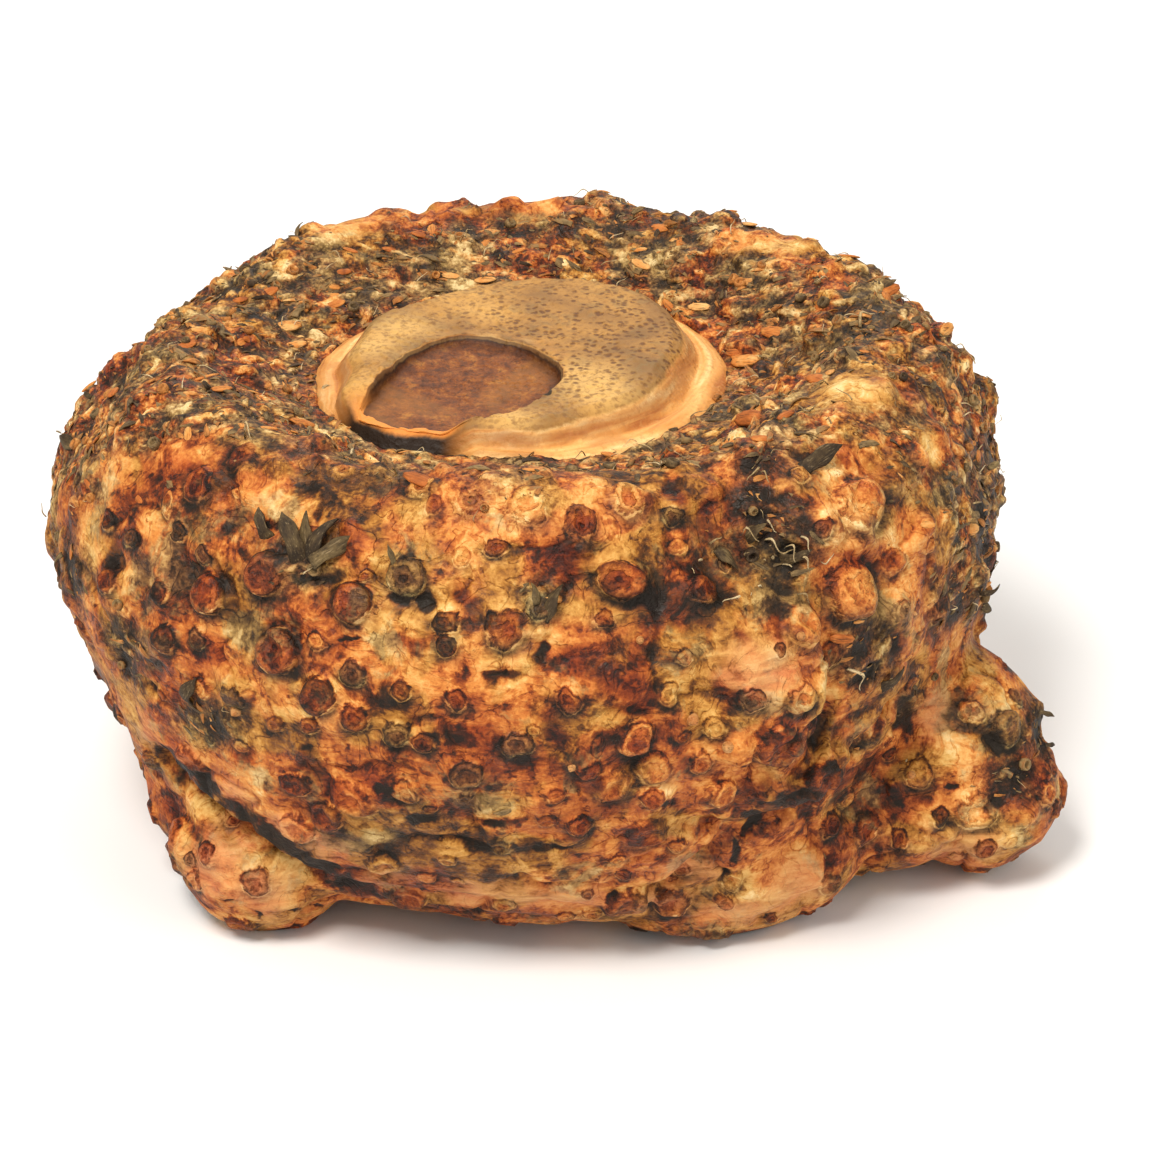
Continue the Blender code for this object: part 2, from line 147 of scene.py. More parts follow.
# Marks of the skin by the photograph: pixel across, pixel down, half width and half height in pixels.
MARKS = {
    # Black marks are dark skin, and also painted shade in crevices, such as those between the feet and the
    # body.
    "black": (
        (400, 600, 16, 7), (273, 523, 12, 8), (503, 675, 16, 11), (383, 790, 12, 8), (423, 820, 14, 8),
        (497, 828, 20, 7), (673, 805, 10, 10), (790, 738, 12, 8), (998, 808, 12, 8), (1020, 775, 20, 16),
        (870, 670, 16, 18), (853, 630, 14, 10), (127, 662, 5, 20), (802, 458, 30, 5), (330, 572, 16, 10),
        (303, 750, 8, 8), (430, 605, 14, 8), (751, 826, 6, 14), (738, 852, 6, 12), (800, 800, 34, 7),
        (760, 815, 22, 6), (828, 772, 14, 8), (1040, 735, 12, 16), (1000, 745, 10, 10), (955, 780, 8, 6),
        (893, 655, 10, 18), (905, 720, 10, 26), (480, 845, 26, 6), (560, 850, 30, 7), (1050, 830, 10, 8),
        (166, 756, 18, 12), (182, 772, 20, 13), (202, 788, 22, 14), (224, 804, 24, 15), (246, 820, 24, 15),
        (268, 838, 24, 15), (290, 855, 24, 14), (315, 870, 24, 13), (342, 882, 20, 10), (350, 640, 8, 5),
        (540, 660, 10, 8), (650, 906, 14, 5), (724, 872, 7, 12), (760, 520, 16, 14), (790, 560, 20, 15),
        (776, 584, 16, 9), (800, 530, 10, 14), (290, 908, 12, 4), (318, 902, 9, 4), (258, 912, 10, 4),
        (230, 900, 9, 4),
    ),
    "russet": (
        (617, 684, 35, 22), (682, 655, 14, 12), (728, 692, 12, 24), (551, 706, 12, 18), (608, 803, 14, 20),
        (738, 638, 10, 8), (776, 640, 10, 7), (782, 671, 20, 6), (701, 511, 8, 14), (580, 660, 18, 14),
        (670, 500, 12, 10), (205, 650, 14, 16), (420, 640, 22, 10), (560, 560, 22, 16), (150, 560, 14, 12),
        (650, 600, 18, 10), (690, 760, 12, 14), (560, 740, 12, 14), (640, 700, 16, 12), (470, 600, 10, 12),
        (745, 560, 10, 16), (850, 560, 14, 8), (780, 610, 12, 10), (240, 760, 16, 10), (330, 790, 14, 10),
    ),
    # Cream marks are pale skin, and also painted highlights on the lit front ridge, the knob and the front
    # foot.
    "cream": (
        (500, 512, 60, 28), (470, 560, 34, 24), (575, 500, 34, 18), (840, 470, 22, 12), (800, 520, 14, 30),
        (880, 540, 26, 20), (90, 470, 20, 12), (150, 520, 24, 10), (130, 600, 18, 16), (765, 668, 34, 30),
        (820, 680, 18, 22), (380, 560, 20, 10), (850, 395, 34, 12), (880, 430, 22, 20), (960, 420, 8, 40),
        (660, 790, 20, 22), (700, 830, 30, 12), (1000, 700, 22, 20), (975, 760, 14, 22),
        (545, 640, 16, 12), (600, 620, 14, 10), (725, 265, 16, 7), (430, 205, 50, 8), (520, 200, 30, 7),
        (335, 235, 24, 9), (195, 800, 34, 26), (250, 862, 44, 22), (180, 850, 16, 30), (1005, 695, 30, 22),
        (960, 745, 26, 20), (940, 832, 56, 20), (1005, 845, 30, 14), (985, 790, 20, 14),
        (765, 885, 70, 22), (420, 520, 30, 16),
    ),
    "scurfy": (
        (160, 560, 60, 50), (110, 520, 40, 30), (230, 620, 60, 36), (140, 640, 40, 40), (330, 600, 60, 24),
        (405, 560, 40, 16), (700, 560, 60, 24), (790, 600, 60, 30), (880, 620, 40, 40), (460, 800, 60, 20),
        (350, 840, 50, 14), (600, 760, 40, 14), (960, 690, 40, 30), (1000, 760, 30, 40),
        (240, 520, 40, 26), (420, 650, 50, 16), (860, 800, 50, 24), (540, 590, 40, 20), (300, 770, 40, 20),
        (690, 860, 40, 12),
    ),
    "rosy": (
        (935, 715, 18, 26), (762, 672, 42, 34), (205, 870, 36, 34), (262, 890, 40, 26), (960, 850, 40, 16),
        (150, 735, 14, 22), (190, 765, 18, 14), (232, 796, 20, 14), (280, 826, 22, 14), (330, 852, 26, 13),
        (390, 880, 36, 15), (470, 896, 46, 14), (560, 900, 50, 13), (650, 900, 40, 12), (745, 908, 60, 12),
        (795, 885, 36, 26), (690, 870, 30, 16), (225, 850, 30, 26),
    ),
    "bare": (
        (345, 226, 60, 18), (430, 212, 60, 18), (520, 208, 60, 14), (775, 246, 54, 16), (868, 392, 60, 24),
        (860, 470, 44, 34), (838, 520, 30, 44), (905, 560, 30, 40), (640, 500, 60, 26), (270, 500, 60, 20),
        (120, 470, 34, 26), (90, 540, 26, 26), (180, 455, 40, 12), (930, 450, 20, 30), (700, 505, 24, 14),
    ),
    "flaky": (
        (780, 545, 44, 42), (750, 500, 22, 26), (760, 468, 34, 14), (870, 655, 40, 34), (950, 600, 30, 40),
        (985, 520, 16, 60), (1040, 730, 26, 40), (1010, 780, 34, 26), (205, 720, 44, 26),
        (130, 640, 30, 40), (300, 560, 40, 26), (540, 600, 20, 16), (910, 700, 20, 26), (860, 740, 30, 14),
        (75, 560, 16, 50),
    ),
}
MARK_EDGE = (0.25, 1.4)
MARK_DEPTH = 2.2
MARK_SHADE = {
    "black": 0.0, "russet": -0.2, "cream": 0.19, "scurfy": 0.01, "rosy": 0.08, "bare": 0.13, "flaky": -0.08,
}
MARK_RISE = {"black": -0.8, "russet": -0.35, "cream": 0.35, "bare": 0.5, "flaky": -0.4}

# Shares of the crown's roughness, and the width of the creases as a share of the noise that draws them.
RIDGE_HEIGHT = 1.3
RIDGE_LEVEL = 0.75
CREASE_WIDTH = 0.07
CROWN_LUMPS = 0.6
CROWN_EYES = 0.25

# The crown's mat of lens-like scales: how many, half lengths, widths, domes, stray turn, lift, and the gaps,
# whose low tone and rim paint shade between the scales.
MAT_SCALES = 2400
MAT_FROM = 0.02
MAT_HALF_LENGTHS = (1.7, 5.2)
MAT_WIDTHS = (0.22, 0.44)
MAT_DOMES = (0.5, 1.0)
MAT_STRAY = 0.22
MAT_LIFT = 1.0
MAT_GAP_TONE = 0.3
MAT_GAP_RIM = 0.95
FLAKY_DUSK = 0.45

# The values that the skin keeps for its material.
SKIN_VALUES = (
    "crown", "eye", "eye_share", "eye_value", "eye_low", "shade", "cool", "red", "rosy", "black", "scurfy",
    "relief", "scale", "rim",
)

# The scar: outlines in plan, heights, and the rings of its mesh from the pit outwards.
PIT_CENTRE = (-14.0, -11.0)
PIT_OUTLINE = (
    (-39, -29), (-36, -17), (-32, -6), (-26, 5), (-15, 14), (-4, 11), (5, 3), (10, -10), (6, -21),
    (-4, -33), (-13, -36), (-22, -35), (-31, -33),
)
PLUG_OUTLINE = (
    (-41, -28), (-41, -5), (-41, 14), (-38, 28), (-25, 37), (-5, 52), (13, 53), (30, 46), (39, 22),
    (36, -5), (29, -22), (16, -31), (3, -40), (-5, -40), (-13, -38.5), (-22, -37.5), (-33, -35),
)
COLLAR_OUTLINE = (
    (-51, 0), (-51, 16), (-44, 30), (-27, 40), (-6, 54), (13, 55), (32, 48), (43, 36), (49, 22), (51, 6),
    (47, -13), (37, -29), (16, -44), (3, -45), (-8, -43), (-18, -41), (-36, -37.5), (-45, -24),
)
OUTLINE_BLUR = 4.5
BLUR_STEPS = np.linspace(-2.0, 2.0, 13)
BLUR_WEIGHTS = np.exp(-(BLUR_STEPS**2))
# The ring whose noise makes the outlines ragged, the least widths of the plug and the collar, and the angle
# that a turn starts after, clear of the outlines' corners.
RAGGED_RING, LEAST_PLUG, LEAST_COLLAR = 40.0, 1.0, 1.5
TURN_END = 120.0
SCAR_STEPS = 420
PLUG_TOP = 119.5
PIT_FLOOR = 113.4
PIT_TILT = 1.9
COLLAR_TOP = 113.4
SCAR_FOOT = 111.5
SCAR_UNDER = 101.0
SKIN_UNDER_SCAR = 9.0
SCAR_OVERLAP = 2.5
GAP_SECTOR = (-158.0, -92.0)
GAP_BLUR = 10.0
GAP_DROP = 4.4
SCAR_NOTCH = (5.5, -21.5, 2.2)
# Pale cream patches of the scar, partly its own colour and partly painted highlight: x, y and radius in mm.
SCAR_CREAM_HIGHLIGHTS = ((15, -12, 9), (20, -22, 8), (-38, 6, 7), (-30, 18, 8), (-2, -36, 6))
STIPPLE_CENTRE = (16.0, 14.0)
STIPPLE_REACH = (20.0, 48.0)
STIPPLE_FADE = 0.6
# The scar's profile from the pit's middle out. A row has its rings up to the next row, the outline that
# its radius starts from, the share of the way to the next outline, mm added, the level that its height starts
# from, mm added, and how many mm it sinks in the gap.
SCAR_PROFILE = (
    (30, "middle", 0.0, 0.0, "floor", 0.6, 0.0),
    (3, "middle", 0.88, -1.0, "dish", 0.0, 0.0),
    (5, "pit", 0.0, -0.7, "dish", 0.5, 0.0),
    (2, "pit", 0.0, 0.0, "brim", -0.7, 0.0),
    (52, "pit", 0.0, 0.6, "brim", 0.0, 0.0),
    (4, "plug", 0.0, -3.0, "brim", 0.0, 0.0),
    (6, "plug", 0.0, -0.6, "brim", -1.1, 0.0),
    (5, "plug", 0.16, 0.0, "brim", -3.4, 0.0),
    (8, "plug", 0.4, 0.0, "collar", 0.0, 4.0),
    (6, "plug", 0.7, 0.0, "collar", -0.2, 5.0),
    (4, "plug", 1.0, 0.0, "foot", 0.0, 5.0),
    (1, "plug", 1.0, 3.0, "foot", -5.5, 2.0),
    (0, "middle", 0.0, 0.0, "under", 0.0, 0.0),
)
# Where the scar's reliefs lie, in rows of its profile.
PLATEAU = (3.5, 4.2, 5.0, 5.6)
PIT_ROWS = (1.0, 2.0)
LIP_ROWS = (2.5, 3.0, 4.0, 4.6)
COLLAR_ROWS = (6.5, 8.0, 9.6, 10.0)
RELIEF_END = 10.5
WART_HEIGHT = 0.35
WART_EDGE = (0.1, 0.5)
ROW_GRAIN = 0.45
FOLD_GRAIN = (0.9, 2.4)


def smooth(low, high, value):
    """Rises smoothly from 0 at low to 1 at high."""
    share = np.clip((value - low) / (high - low), 0.0, 1.0)
    return share * share * (3.0 - 2.0 * share)


def between(rise_from, rise_to, fall_from, fall_to, value):
    """Rises smoothly from 0 to 1, and falls back to 0."""
    return smooth(rise_from, rise_to, value) * (1.0 - smooth(fall_from, fall_to, value))


def hump(height, middle, width, value):
    """A soft hump of some height and half width about the middle."""
    return height * np.exp(-(((value - middle) / width) ** 2))


def cell_value(cell):
    """A repeatable value from 0 to 1 for each cell of a lattice."""
    mixed = np.bitwise_xor.reduce(cell * CELL_MIXERS, axis=-1)
    mixed = (mixed ^ (mixed >> 13)) * CELL_STIR
    return ((mixed ^ (mixed >> 16)) & CELL_VALUES) / CELL_VALUES


def noise(points, reach, size, octaves, seed):
    """Soft noise from -reach to reach, with lumps size apart. The size may differ along x, y and z."""
    total = np.zeros(len(points))
    strength = 1.0
    for octave in range(octaves):
        spot = points * 2**octave / np.asarray(size, float) + SEED_STEP * (seed + 1)
        cell = np.floor(spot).astype(np.int64)
        part = spot - cell
        part = part * part * (3.0 - 2.0 * part)
        value = np.zeros(len(points))
        for corner in itertools.product((0, 1), repeat=3):
            share = np.where(np.array(corner) == 1, part, 1.0 - part).prod(axis=1)
            value += share * cell_value(cell + np.array(corner))
        total += strength * (2.0 * value - 1.0)
        strength *= 0.5
    return reach * (total / (2.0 - 2.0 * strength))


def warp(points, reach, size, seed):
    """The points moved about by noise, which gives ragged outlines to what is measured from them."""
    moves = [noise(points, reach, size, 2, seed + step) for step in range(3)]
    return points + np.stack(moves, axis=1)


def unit(vectors):
    return vectors / np.maximum(np.linalg.norm(vectors, axis=-1, keepdims=True), SHORTEST)


def azimuth_of(points):
    """Degrees round the corm, 0 towards the camera and 90 to its right."""
    return np.degrees(np.arctan2(points[:, 0], -points[:, 1]))


def elevation_of(points):
    """Degrees above the level of the corm's heart."""
    return np.degrees(np.arctan2(points[:, 2] - HEART[2], np.hypot(points[:, 0], points[:, 1])))


def points_of(mesh):
    found = np.empty(len(mesh.vertices) * 3)
    mesh.vertices.foreach_get("co", found)
    return found.reshape(-1, 3) / METRES


def set_points(mesh, points):
    mesh.vertices.foreach_set("co", (points * METRES).ravel())
    mesh.update()


def normals_of(mesh):
    found = np.empty(len(mesh.vertices) * 3)
    mesh.vertices.foreach_get("normal", found)
    return found.reshape(-1, 3)


def triangles_of(mesh):
    mesh.calc_loop_triangles()
    found = np.empty(len(mesh.loop_triangles) * 3, np.int64)
    mesh.loop_triangles.foreach_get("vertices", found)
    return found.reshape(-1, 3)


def set_values(mesh, name, values):
    """Keeps a number or a direction for each point of the mesh, for its material."""
    values = np.asarray(values, np.float32)
    kind, key = ("FLOAT", "value") if values.ndim == 1 else ("FLOAT_VECTOR", "vector")
    mesh.attributes.new(name, kind, "POINT").data.foreach_set(key, values.ravel())


def merged(mesh, turned_out=False):
    """The mesh with its doubled points merged and, where asked, its faces turned outwards."""
    work = bmesh.new()
    work.from_mesh(mesh)
    bmesh.ops.remove_doubles(work, verts=work.verts, dist=MERGE_REACH * METRES)
    if turned_out:
        bmesh.ops.recalc_face_normals(work, faces=work.faces)
    work.to_mesh(mesh)
    work.free()
    return mesh


def after_modifier(mesh, kind, **settings):
    """The mesh with one modifier applied."""
    carrier = bpy.data.objects.new("carrier", mesh)
    bpy.context.scene.collection.objects.link(carrier)
    modifier = carrier.modifiers.new(kind.lower(), kind)
    for name, value in settings.items():
        setattr(modifier, name, value)
    graph = bpy.context.evaluated_depsgraph_get()
    made = bpy.data.meshes.new_from_object(carrier.evaluated_get(graph))
    bpy.data.objects.remove(carrier)
    return made


def tree_of(mesh):
    """A search tree of the mesh, in mm."""
    return BVHTree.FromPolygons(points_of(mesh).tolist(), triangles_of(mesh).tolist())


def ray_through(across, down):
    """The direction from the camera through a pixel of the photograph."""
    return unit(AHEAD + RIGHT * (across - FRAME / 2) / FOCAL - UP * (down - FRAME / 2) / FOCAL)


def seen_at(tree, across, down):
    """The point and normal that the photograph shows at a pixel, or None off the corm."""
    spot, normal, _, _ = tree.ray_cast(Vector(CAMERA), Vector(ray_through(across, down)))
    return None if spot is None else (np.array(spot), np.array(normal))


def spots_on(mesh, weights, count, draw):
    """Random points on the mesh where the weights are high, with their normals."""
    points, faces = points_of(mesh), triangles_of(mesh)
    corners = points[faces]
    facing = np.cross(corners[:, 1] - corners[:, 0], corners[:, 2] - corners[:, 0])
    chance = np.linalg.norm(facing, axis=1) * weights[faces].mean(axis=1)
    picked = draw.choice(len(faces), count, p=chance / chance.sum())
    first, second = np.sqrt(draw.random(count)), draw.random(count)
    shares = np.stack((1.0 - first, first * (1.0 - second), first * second), axis=1)
    spots = np.einsum("ij,ijk->ik", shares, corners[picked])
    normals = np.einsum("ij,ijk->ik", shares, normals_of(mesh)[faces[picked]])
    return spots, unit(normals)


def turned_about(vectors, axes, angles):
    """Each vector turned about its own axis by its own angle in radians."""
    cosine, sine = np.cos(angles)[:, None], np.sin(angles)[:, None]
    along = (vectors * axes).sum(axis=1, keepdims=True)
    return vectors * cosine + np.cross(axes, vectors) * sine + axes * along * (1.0 - cosine)


def along_surface(normals, turns):
    """Directions on the surface, turned from the one that runs level round the corm."""
    flat = np.cross(np.array((0.0, 0.0, 1.0)), normals)
    flat[np.linalg.norm(flat, axis=1) < NEAR_UPRIGHT] = RIGHT
    return turned_about(unit(flat), normals, turns)


# Skin


def bare_skin(node):
    """The corm's solid as an even, smooth mesh."""
    mesh = merged(node.data.copy())
    mesh = after_modifier(mesh, "REMESH", mode="VOXEL", voxel_size=SKIN_GRID * METRES)
    return after_modifier(mesh, "SMOOTH", factor=SKIN_SMOOTHING, iterations=SMOOTHING_ROUNDS)


def crown_share(points):
    """How far each point lies in the flaky crown, from 0 to 1."""
    azimuths, edges = zip(*CROWN_EDGE)
    edge = np.interp(azimuth_of(points), azimuths, edges)
    edge = edge + noise(points, *CROWN_RAGGED)
    return smooth(-CROWN_BLUR, CROWN_BLUR, elevation_of(points) - edge)


def mark_share(points, tree, rows):
    """How far each point lies in one of the marks that are placed by pixel, from 0 to 1."""
    share = np.zeros(len(points))
    for across, down, half_width, half_height in rows:
        found = seen_at(tree, across, down)
        if found is None:
            continue
        away = points - found[0]
        reach = np.sqrt(
            (away @ RIGHT / (half_width * PIXEL)) ** 2
            + (away @ UP / (half_height * PIXEL)) ** 2
            + (away @ AHEAD / (MARK_DEPTH * max(half_width, half_height) * PIXEL)) ** 2
        )
        share = np.maximum(share, 1.0 - smooth(*MARK_EDGE, reach))
    return share


def seen_eyes(tree):
    """The eyes that the photograph shows, as rows of x, y, z, radius, tone and share."""
    rows = []
    for across, down, radius, tone in EYES_SEEN:
        found = seen_at(tree, across, down)
        if found is not None:
            rows.append((*found[0], radius * PIXEL * EYE_PIXEL_MARGIN, tone, 1.0))
    return rows


def spare_eyes(mesh, crown, taken, draw):
    """Eyes for the rest of the skin, clear of each other and of the eyes already placed."""
    rows = list(taken)
    above = smooth(EYE_LOWEST, EYE_LOWEST + EYE_LOW_BLUR, elevation_of(points_of(mesh)))
    spots, _ = spots_on(mesh, (1.0 - crown) * above + LEAST_CHANCE, SPARE_EYES * SPARE_EYE_TRIES, draw)
    low, high = SPARE_EYE_RADII
    for spot in spots:
        radius = low + (high - low) * draw.random() ** SPARE_EYE_FAVOUR
        placed = np.array(rows)
        away = np.linalg.norm(placed[:, :3] - spot, axis=1)
        room = away - SPARE_EYE_ROOM * placed[:, 3] - SPARE_EYE_ROOM * radius
        if room.min() > 0:
            rows.append((*spot, radius, draw.choice(SPARE_TONES), draw.uniform(*SPARE_EYE_SHARES)))
        if len(rows) - len(taken) >= SPARE_EYES:
            break
    return rows


def eye_fields(points, eyes):
    """For each point: its distance from the nearest eye in radii, that eye's tone, radius and share, and how
    low on the eye the point lies."""
    away = np.full(len(points), EYE_FARTHEST)
    tone = np.full(len(points), RUSSET)
    size = np.ones(len(points))
    strength = np.zeros(len(points))
    below = np.zeros(len(points))
    warped = warp(points, *EYE_WARP)
    draw = np.random.default_rng(SEED)
    for *centre, radius, shade, force in eyes:
        near = np.flatnonzero(np.abs(warped - centre).max(axis=1) < EYE_SPAN * radius)
        offset = warped[near] - centre
        narrow = unit(draw.normal(size=3))
        offset += np.outer(offset @ narrow, narrow) * (1.0 / draw.uniform(*EYE_ASPECTS) - 1.0)
        reach = np.linalg.norm(offset, axis=1) / radius
        nearest = reach < away[near]
        closer = near[nearest]
        below[closer] = -offset[nearest, 2] / radius
        away[closer] = reach[nearest]
        tone[closer], size[closer], strength[closer] = shade, radius, force
    return np.clip(away, 0.0, EYE_FARTHEST), tone, size, strength, np.clip(below, -1.0, 1.0)


def eye_height(away, size):
    """The eye's relief: a low mound with a raised ring, a dent inside it, a small boss and a moat."""
    rise, full, foot = EYE_MOUND
    mound = rise * (1.0 - smooth(full, foot, away))
    dent = hump(*EYE_DENT, away) - hump(*EYE_BOSS, away)
    height = mound + hump(*EYE_RING, away) - dent - hump(*EYE_MOAT, away)
    return height * np.clip(size / EYE_FULL_RADIUS, *EYE_DEPTHS)


def skin_relief(points, fields):
    """How far the skin stands out at each point, in mm."""
    crown = fields["crown"]
    side = 1.0 - crown
    lumps = noise(points, *LUMPS) * (1.0 - (1.0 - CROWN_LUMPS) * crown)
    wrinkles = noise(points, *WRINKLES) * side
    ridged = 1.0 - np.abs(noise(points, *RIDGES))
    rough = RIDGE_HEIGHT * (ridged - RIDGE_LEVEL) * crown
    creases = -np.exp(-((noise(points, *CREASES) / CREASE_WIDTH) ** 2)) * side
    marks = sum(rise * fields[name] for name, rise in MARK_RISE.items())
    eyes = eye_height(fields["eye"], fields["eye_size"]) * (1.0 - (1.0 - CROWN_EYES) * crown)
    return lumps + wrinkles + rough + creases + marks + eyes + MAT_LIFT * fields["mat"] * crown


def mat_fields(points, crown, centres, normals, draw):
    """For each point in the crown: its scale's tone, how far out on the scale it lies, and its lift."""
    tone, rim = np.full(len(points), MAT_GAP_TONE), np.full(len(points), MAT_GAP_RIM)
    lift = np.zeros(len(points))
    inside = np.flatnonzero(crown > MAT_FROM)
    spots = warp(points[inside], *MAT_WARP)
    along = along_surface(normals, noise(centres, *FLOW) + draw.normal(0.0, MAT_STRAY, len(centres)))
    across = np.cross(normals, along)
    for index, centre in enumerate(centres):
        half = draw.uniform(*MAT_HALF_LENGTHS)
        near = np.flatnonzero(np.abs(spots - centre).max(axis=1) < half)
        offset = (spots[near] - centre) / half
        sideways = offset @ across[index] / draw.uniform(*MAT_WIDTHS)
        reach = np.sqrt((offset @ along[index]) ** 2 + sideways**2 + (offset @ normals[index]) ** 2)
        dome = np.sqrt(np.clip(1.0 - reach**2, 0.0, 1.0)) * draw.uniform(*MAT_DOMES)
        at = inside[near]
        higher = dome > lift[at]
        lift[at[higher]], rim[at[higher]], tone[at[higher]] = dome[higher], reach[higher], draw.random()
    return tone, rim, lift


def skin_fields(points, tree, eyes):
    """Everything that the skin's relief and colours are made from, one number for each point."""
    warped = warp(points, *MARK_WARP)
    fields = {name: mark_share(warped, tree, rows) for name, rows in MARKS.items()}
    crown = np.maximum(crown_share(points), fields["flaky"])
    fields["crown"] = np.clip(crown - fields["bare"], 0.0, 1.0)
    fields["eye"], tone, fields["eye_size"], fields["eye_share"], fields["eye_low"] = eye_fields(points, eyes)
    share = fields["eye_share"]
    core = hump(1.0, 0.0, EYE_CORE, fields["eye"])
    fields["eye_value"] = np.interp(tone, TONES, TONE_VALUES) + core * np.interp(tone, TONES, TONE_CORES)
    strength, middle, width = EYE_DUSK
    dusk = hump(1.0, middle, width, fields["eye"]) * share * (DUSK_LEAN + fields["eye_low"])
    fields["shade"] = sum(shift * fields[name] for name, shift in MARK_SHADE.items()) - strength * dusk
    on_eye = (fields["eye"] < EYE_EDGE) * share
    cool = GREY_EYE_COOL * (tone == GREY) * on_eye + FLAKY_COOL * fields["flaky"] + DUSK_COOL * dusk
    red = fields["russet"] + CORE_RED * core * (tone != GOLD) * share
    red = red + RUSSET_EYE_RED * (tone == RUSSET) * on_eye
    fields["cool"], fields["red"] = np.clip(cool, 0.0, 1.0), np.clip(red, 0.0, 1.0)
    return fields


def outline_reach(outline, angles):
    """The distance from the pit's centre to a rounded outline, at each angle in degrees."""
    away = np.array(outline, float) - PIT_CENTRE
    turns = np.degrees(np.arctan2(away[:, 1], away[:, 0]))
    reaches = np.hypot(away[:, 0], away[:, 1])
    found = [
        weight * np.interp(angles + step * OUTLINE_BLUR, turns, reaches, period=360)
        for step, weight in zip(BLUR_STEPS, BLUR_WEIGHTS)
    ]
    return sum(found) / BLUR_WEIGHTS.sum()


def in_outline(points, outline, margin):
    """How deep each point lies inside an outline about the pit's centre: 1 inside, 0 a margin outside it."""
    across, along = points[:, 0] - PIT_CENTRE[0], points[:, 1] - PIT_CENTRE[1]
    reach = outline_reach(outline, np.degrees(np.arctan2(along, across)))
    return (1.0 - smooth(-margin, 0.0, np.hypot(across, along) - reach)) * (points[:, 2] > HEART[2])


def skin_piece(node, draw):
    """The whole skin as one closed mesh, with the fields that its material reads."""
    mesh = bare_skin(node)
    points, normals = points_of(mesh), normals_of(mesh)
    tree = tree_of(mesh)
    eyes = spare_eyes(mesh, crown_share(points), seen_eyes(tree), draw)
    fields = skin_fields(points, tree, eyes)
    spots = spots_on(mesh, fields["crown"] + LEAST_CHANCE, MAT_SCALES, draw)
    fields["scale"], fields["rim"], fields["mat"] = mat_fields(points, fields["crown"], *spots, draw)
    fields["scale"] = fields["scale"] - FLAKY_DUSK * fields["flaky"]
    fields["relief"] = skin_relief(points, fields)
    risen = normals * (fields["relief"] * smooth(*FLOOR_FADE, points[:, 2]))[:, None]
    sunk = in_outline(points, COLLAR_OUTLINE, SCAR_OVERLAP)[:, None] * (0, 0, SKIN_UNDER_SCAR)
    set_points(mesh, points + risen - sunk)
    for name in SKIN_VALUES:
        set_values(mesh, name, fields[name])
    return after_modifier(mesh, "DECIMATE", ratio=min(1.0, SKIN_TRIANGLES / len(triangles_of(mesh))))


# Scar


def gap_share(angles):
    """How far each angle lies in the torn gap under the pit's front lip, from 0 to 1."""
    low, high = GAP_SECTOR
    return between(low - GAP_BLUR, low + GAP_BLUR, high - GAP_BLUR, high + GAP_BLUR, angles)


def scar_profile(angles):
    """Radius and height of each row of the scar's profile, at each angle."""
    turned = np.radians(angles)
    around = RAGGED_RING * np.stack((np.cos(turned), np.sin(turned), 0.0 * turned), axis=1)
    pit = outline_reach(PIT_OUTLINE, angles) + noise(around, *PIT_RAGGED)
    plug = np.maximum(outline_reach(PLUG_OUTLINE, angles) + noise(around, *PLUG_RAGGED), pit + LEAST_PLUG)
    collar = outline_reach(COLLAR_OUTLINE, angles) + noise(around, *COLLAR_RAGGED)
    collar = np.maximum(collar, plug + LEAST_COLLAR)
    reaches = {"middle": (0.0 * pit, pit), "pit": (pit, plug), "plug": (plug, collar)}
    gap = gap_share(angles)
    levels = {
        "floor": PIT_FLOOR, "dish": PIT_FLOOR + PIT_TILT * (1.0 + np.sin(turned)),
        "brim": PLUG_TOP - GAP_DROP * gap, "collar": COLLAR_TOP, "foot": SCAR_FOOT, "under": SCAR_UNDER,
    }
    radii, heights = [], []
    for _, outline, share, added, level, raised, sunk in SCAR_PROFILE:
        start, end = reaches[outline]
        radii.append(start + share * (end - start) + added)
        heights.append(levels[level] + raised - sunk * gap)
    return np.array(radii), np.array(heights)


def ring_disc(rings):
    """A flat disc of rings, one mm apart."""
    work = bmesh.new()
    chain = [work.verts.new((step * METRES, 0.0, 0.0)) for step in range(rings + 1)]
    edges = [work.edges.new(pair) for pair in zip(chain, chain[1:])]
    bmesh.ops.spin(
        work, geom=chain + edges, cent=(0, 0, 0), axis=(0, 0, 1), dvec=(0, 0, 0), angle=math.tau,
        steps=SCAR_STEPS, use_merge=True, use_duplicate=False,
    )
    bmesh.ops.remove_doubles(work, verts=work.verts, dist=RING_MERGE_REACH * METRES)
    mesh = bpy.data.meshes.new("leaf_scar")
    work.to_mesh(mesh)
    work.free()
    return mesh


def scar_points(mesh, counts):
    """For each point of the disc of rings: its place on the scar, its level in the profile and its angle."""
    flat = points_of(mesh)
    ring = np.rint(np.hypot(flat[:, 0], flat[:, 1])).astype(int)
    angles = np.degrees(np.arctan2(flat[:, 1], flat[:, 0]))
    angles[angles > TURN_END] -= 360.0
    radii, heights = scar_profile(angles)
    level = np.interp(ring, np.cumsum([0] + counts[:-1]), np.arange(len(counts)))
    below = np.minimum(level.astype(int), len(counts) - 2)
    share, column = level - below, np.arange(len(flat))
    radius = radii[below, column] * (1 - share) + radii[below + 1, column] * share
    height = heights[below, column] * (1 - share) + heights[below + 1, column] * share
    turned = np.radians(angles)
    points = np.stack(
        (PIT_CENTRE[0] + radius * np.cos(turned), PIT_CENTRE[1] + radius * np.sin(turned), height), axis=1
    )
    return points, level, angles


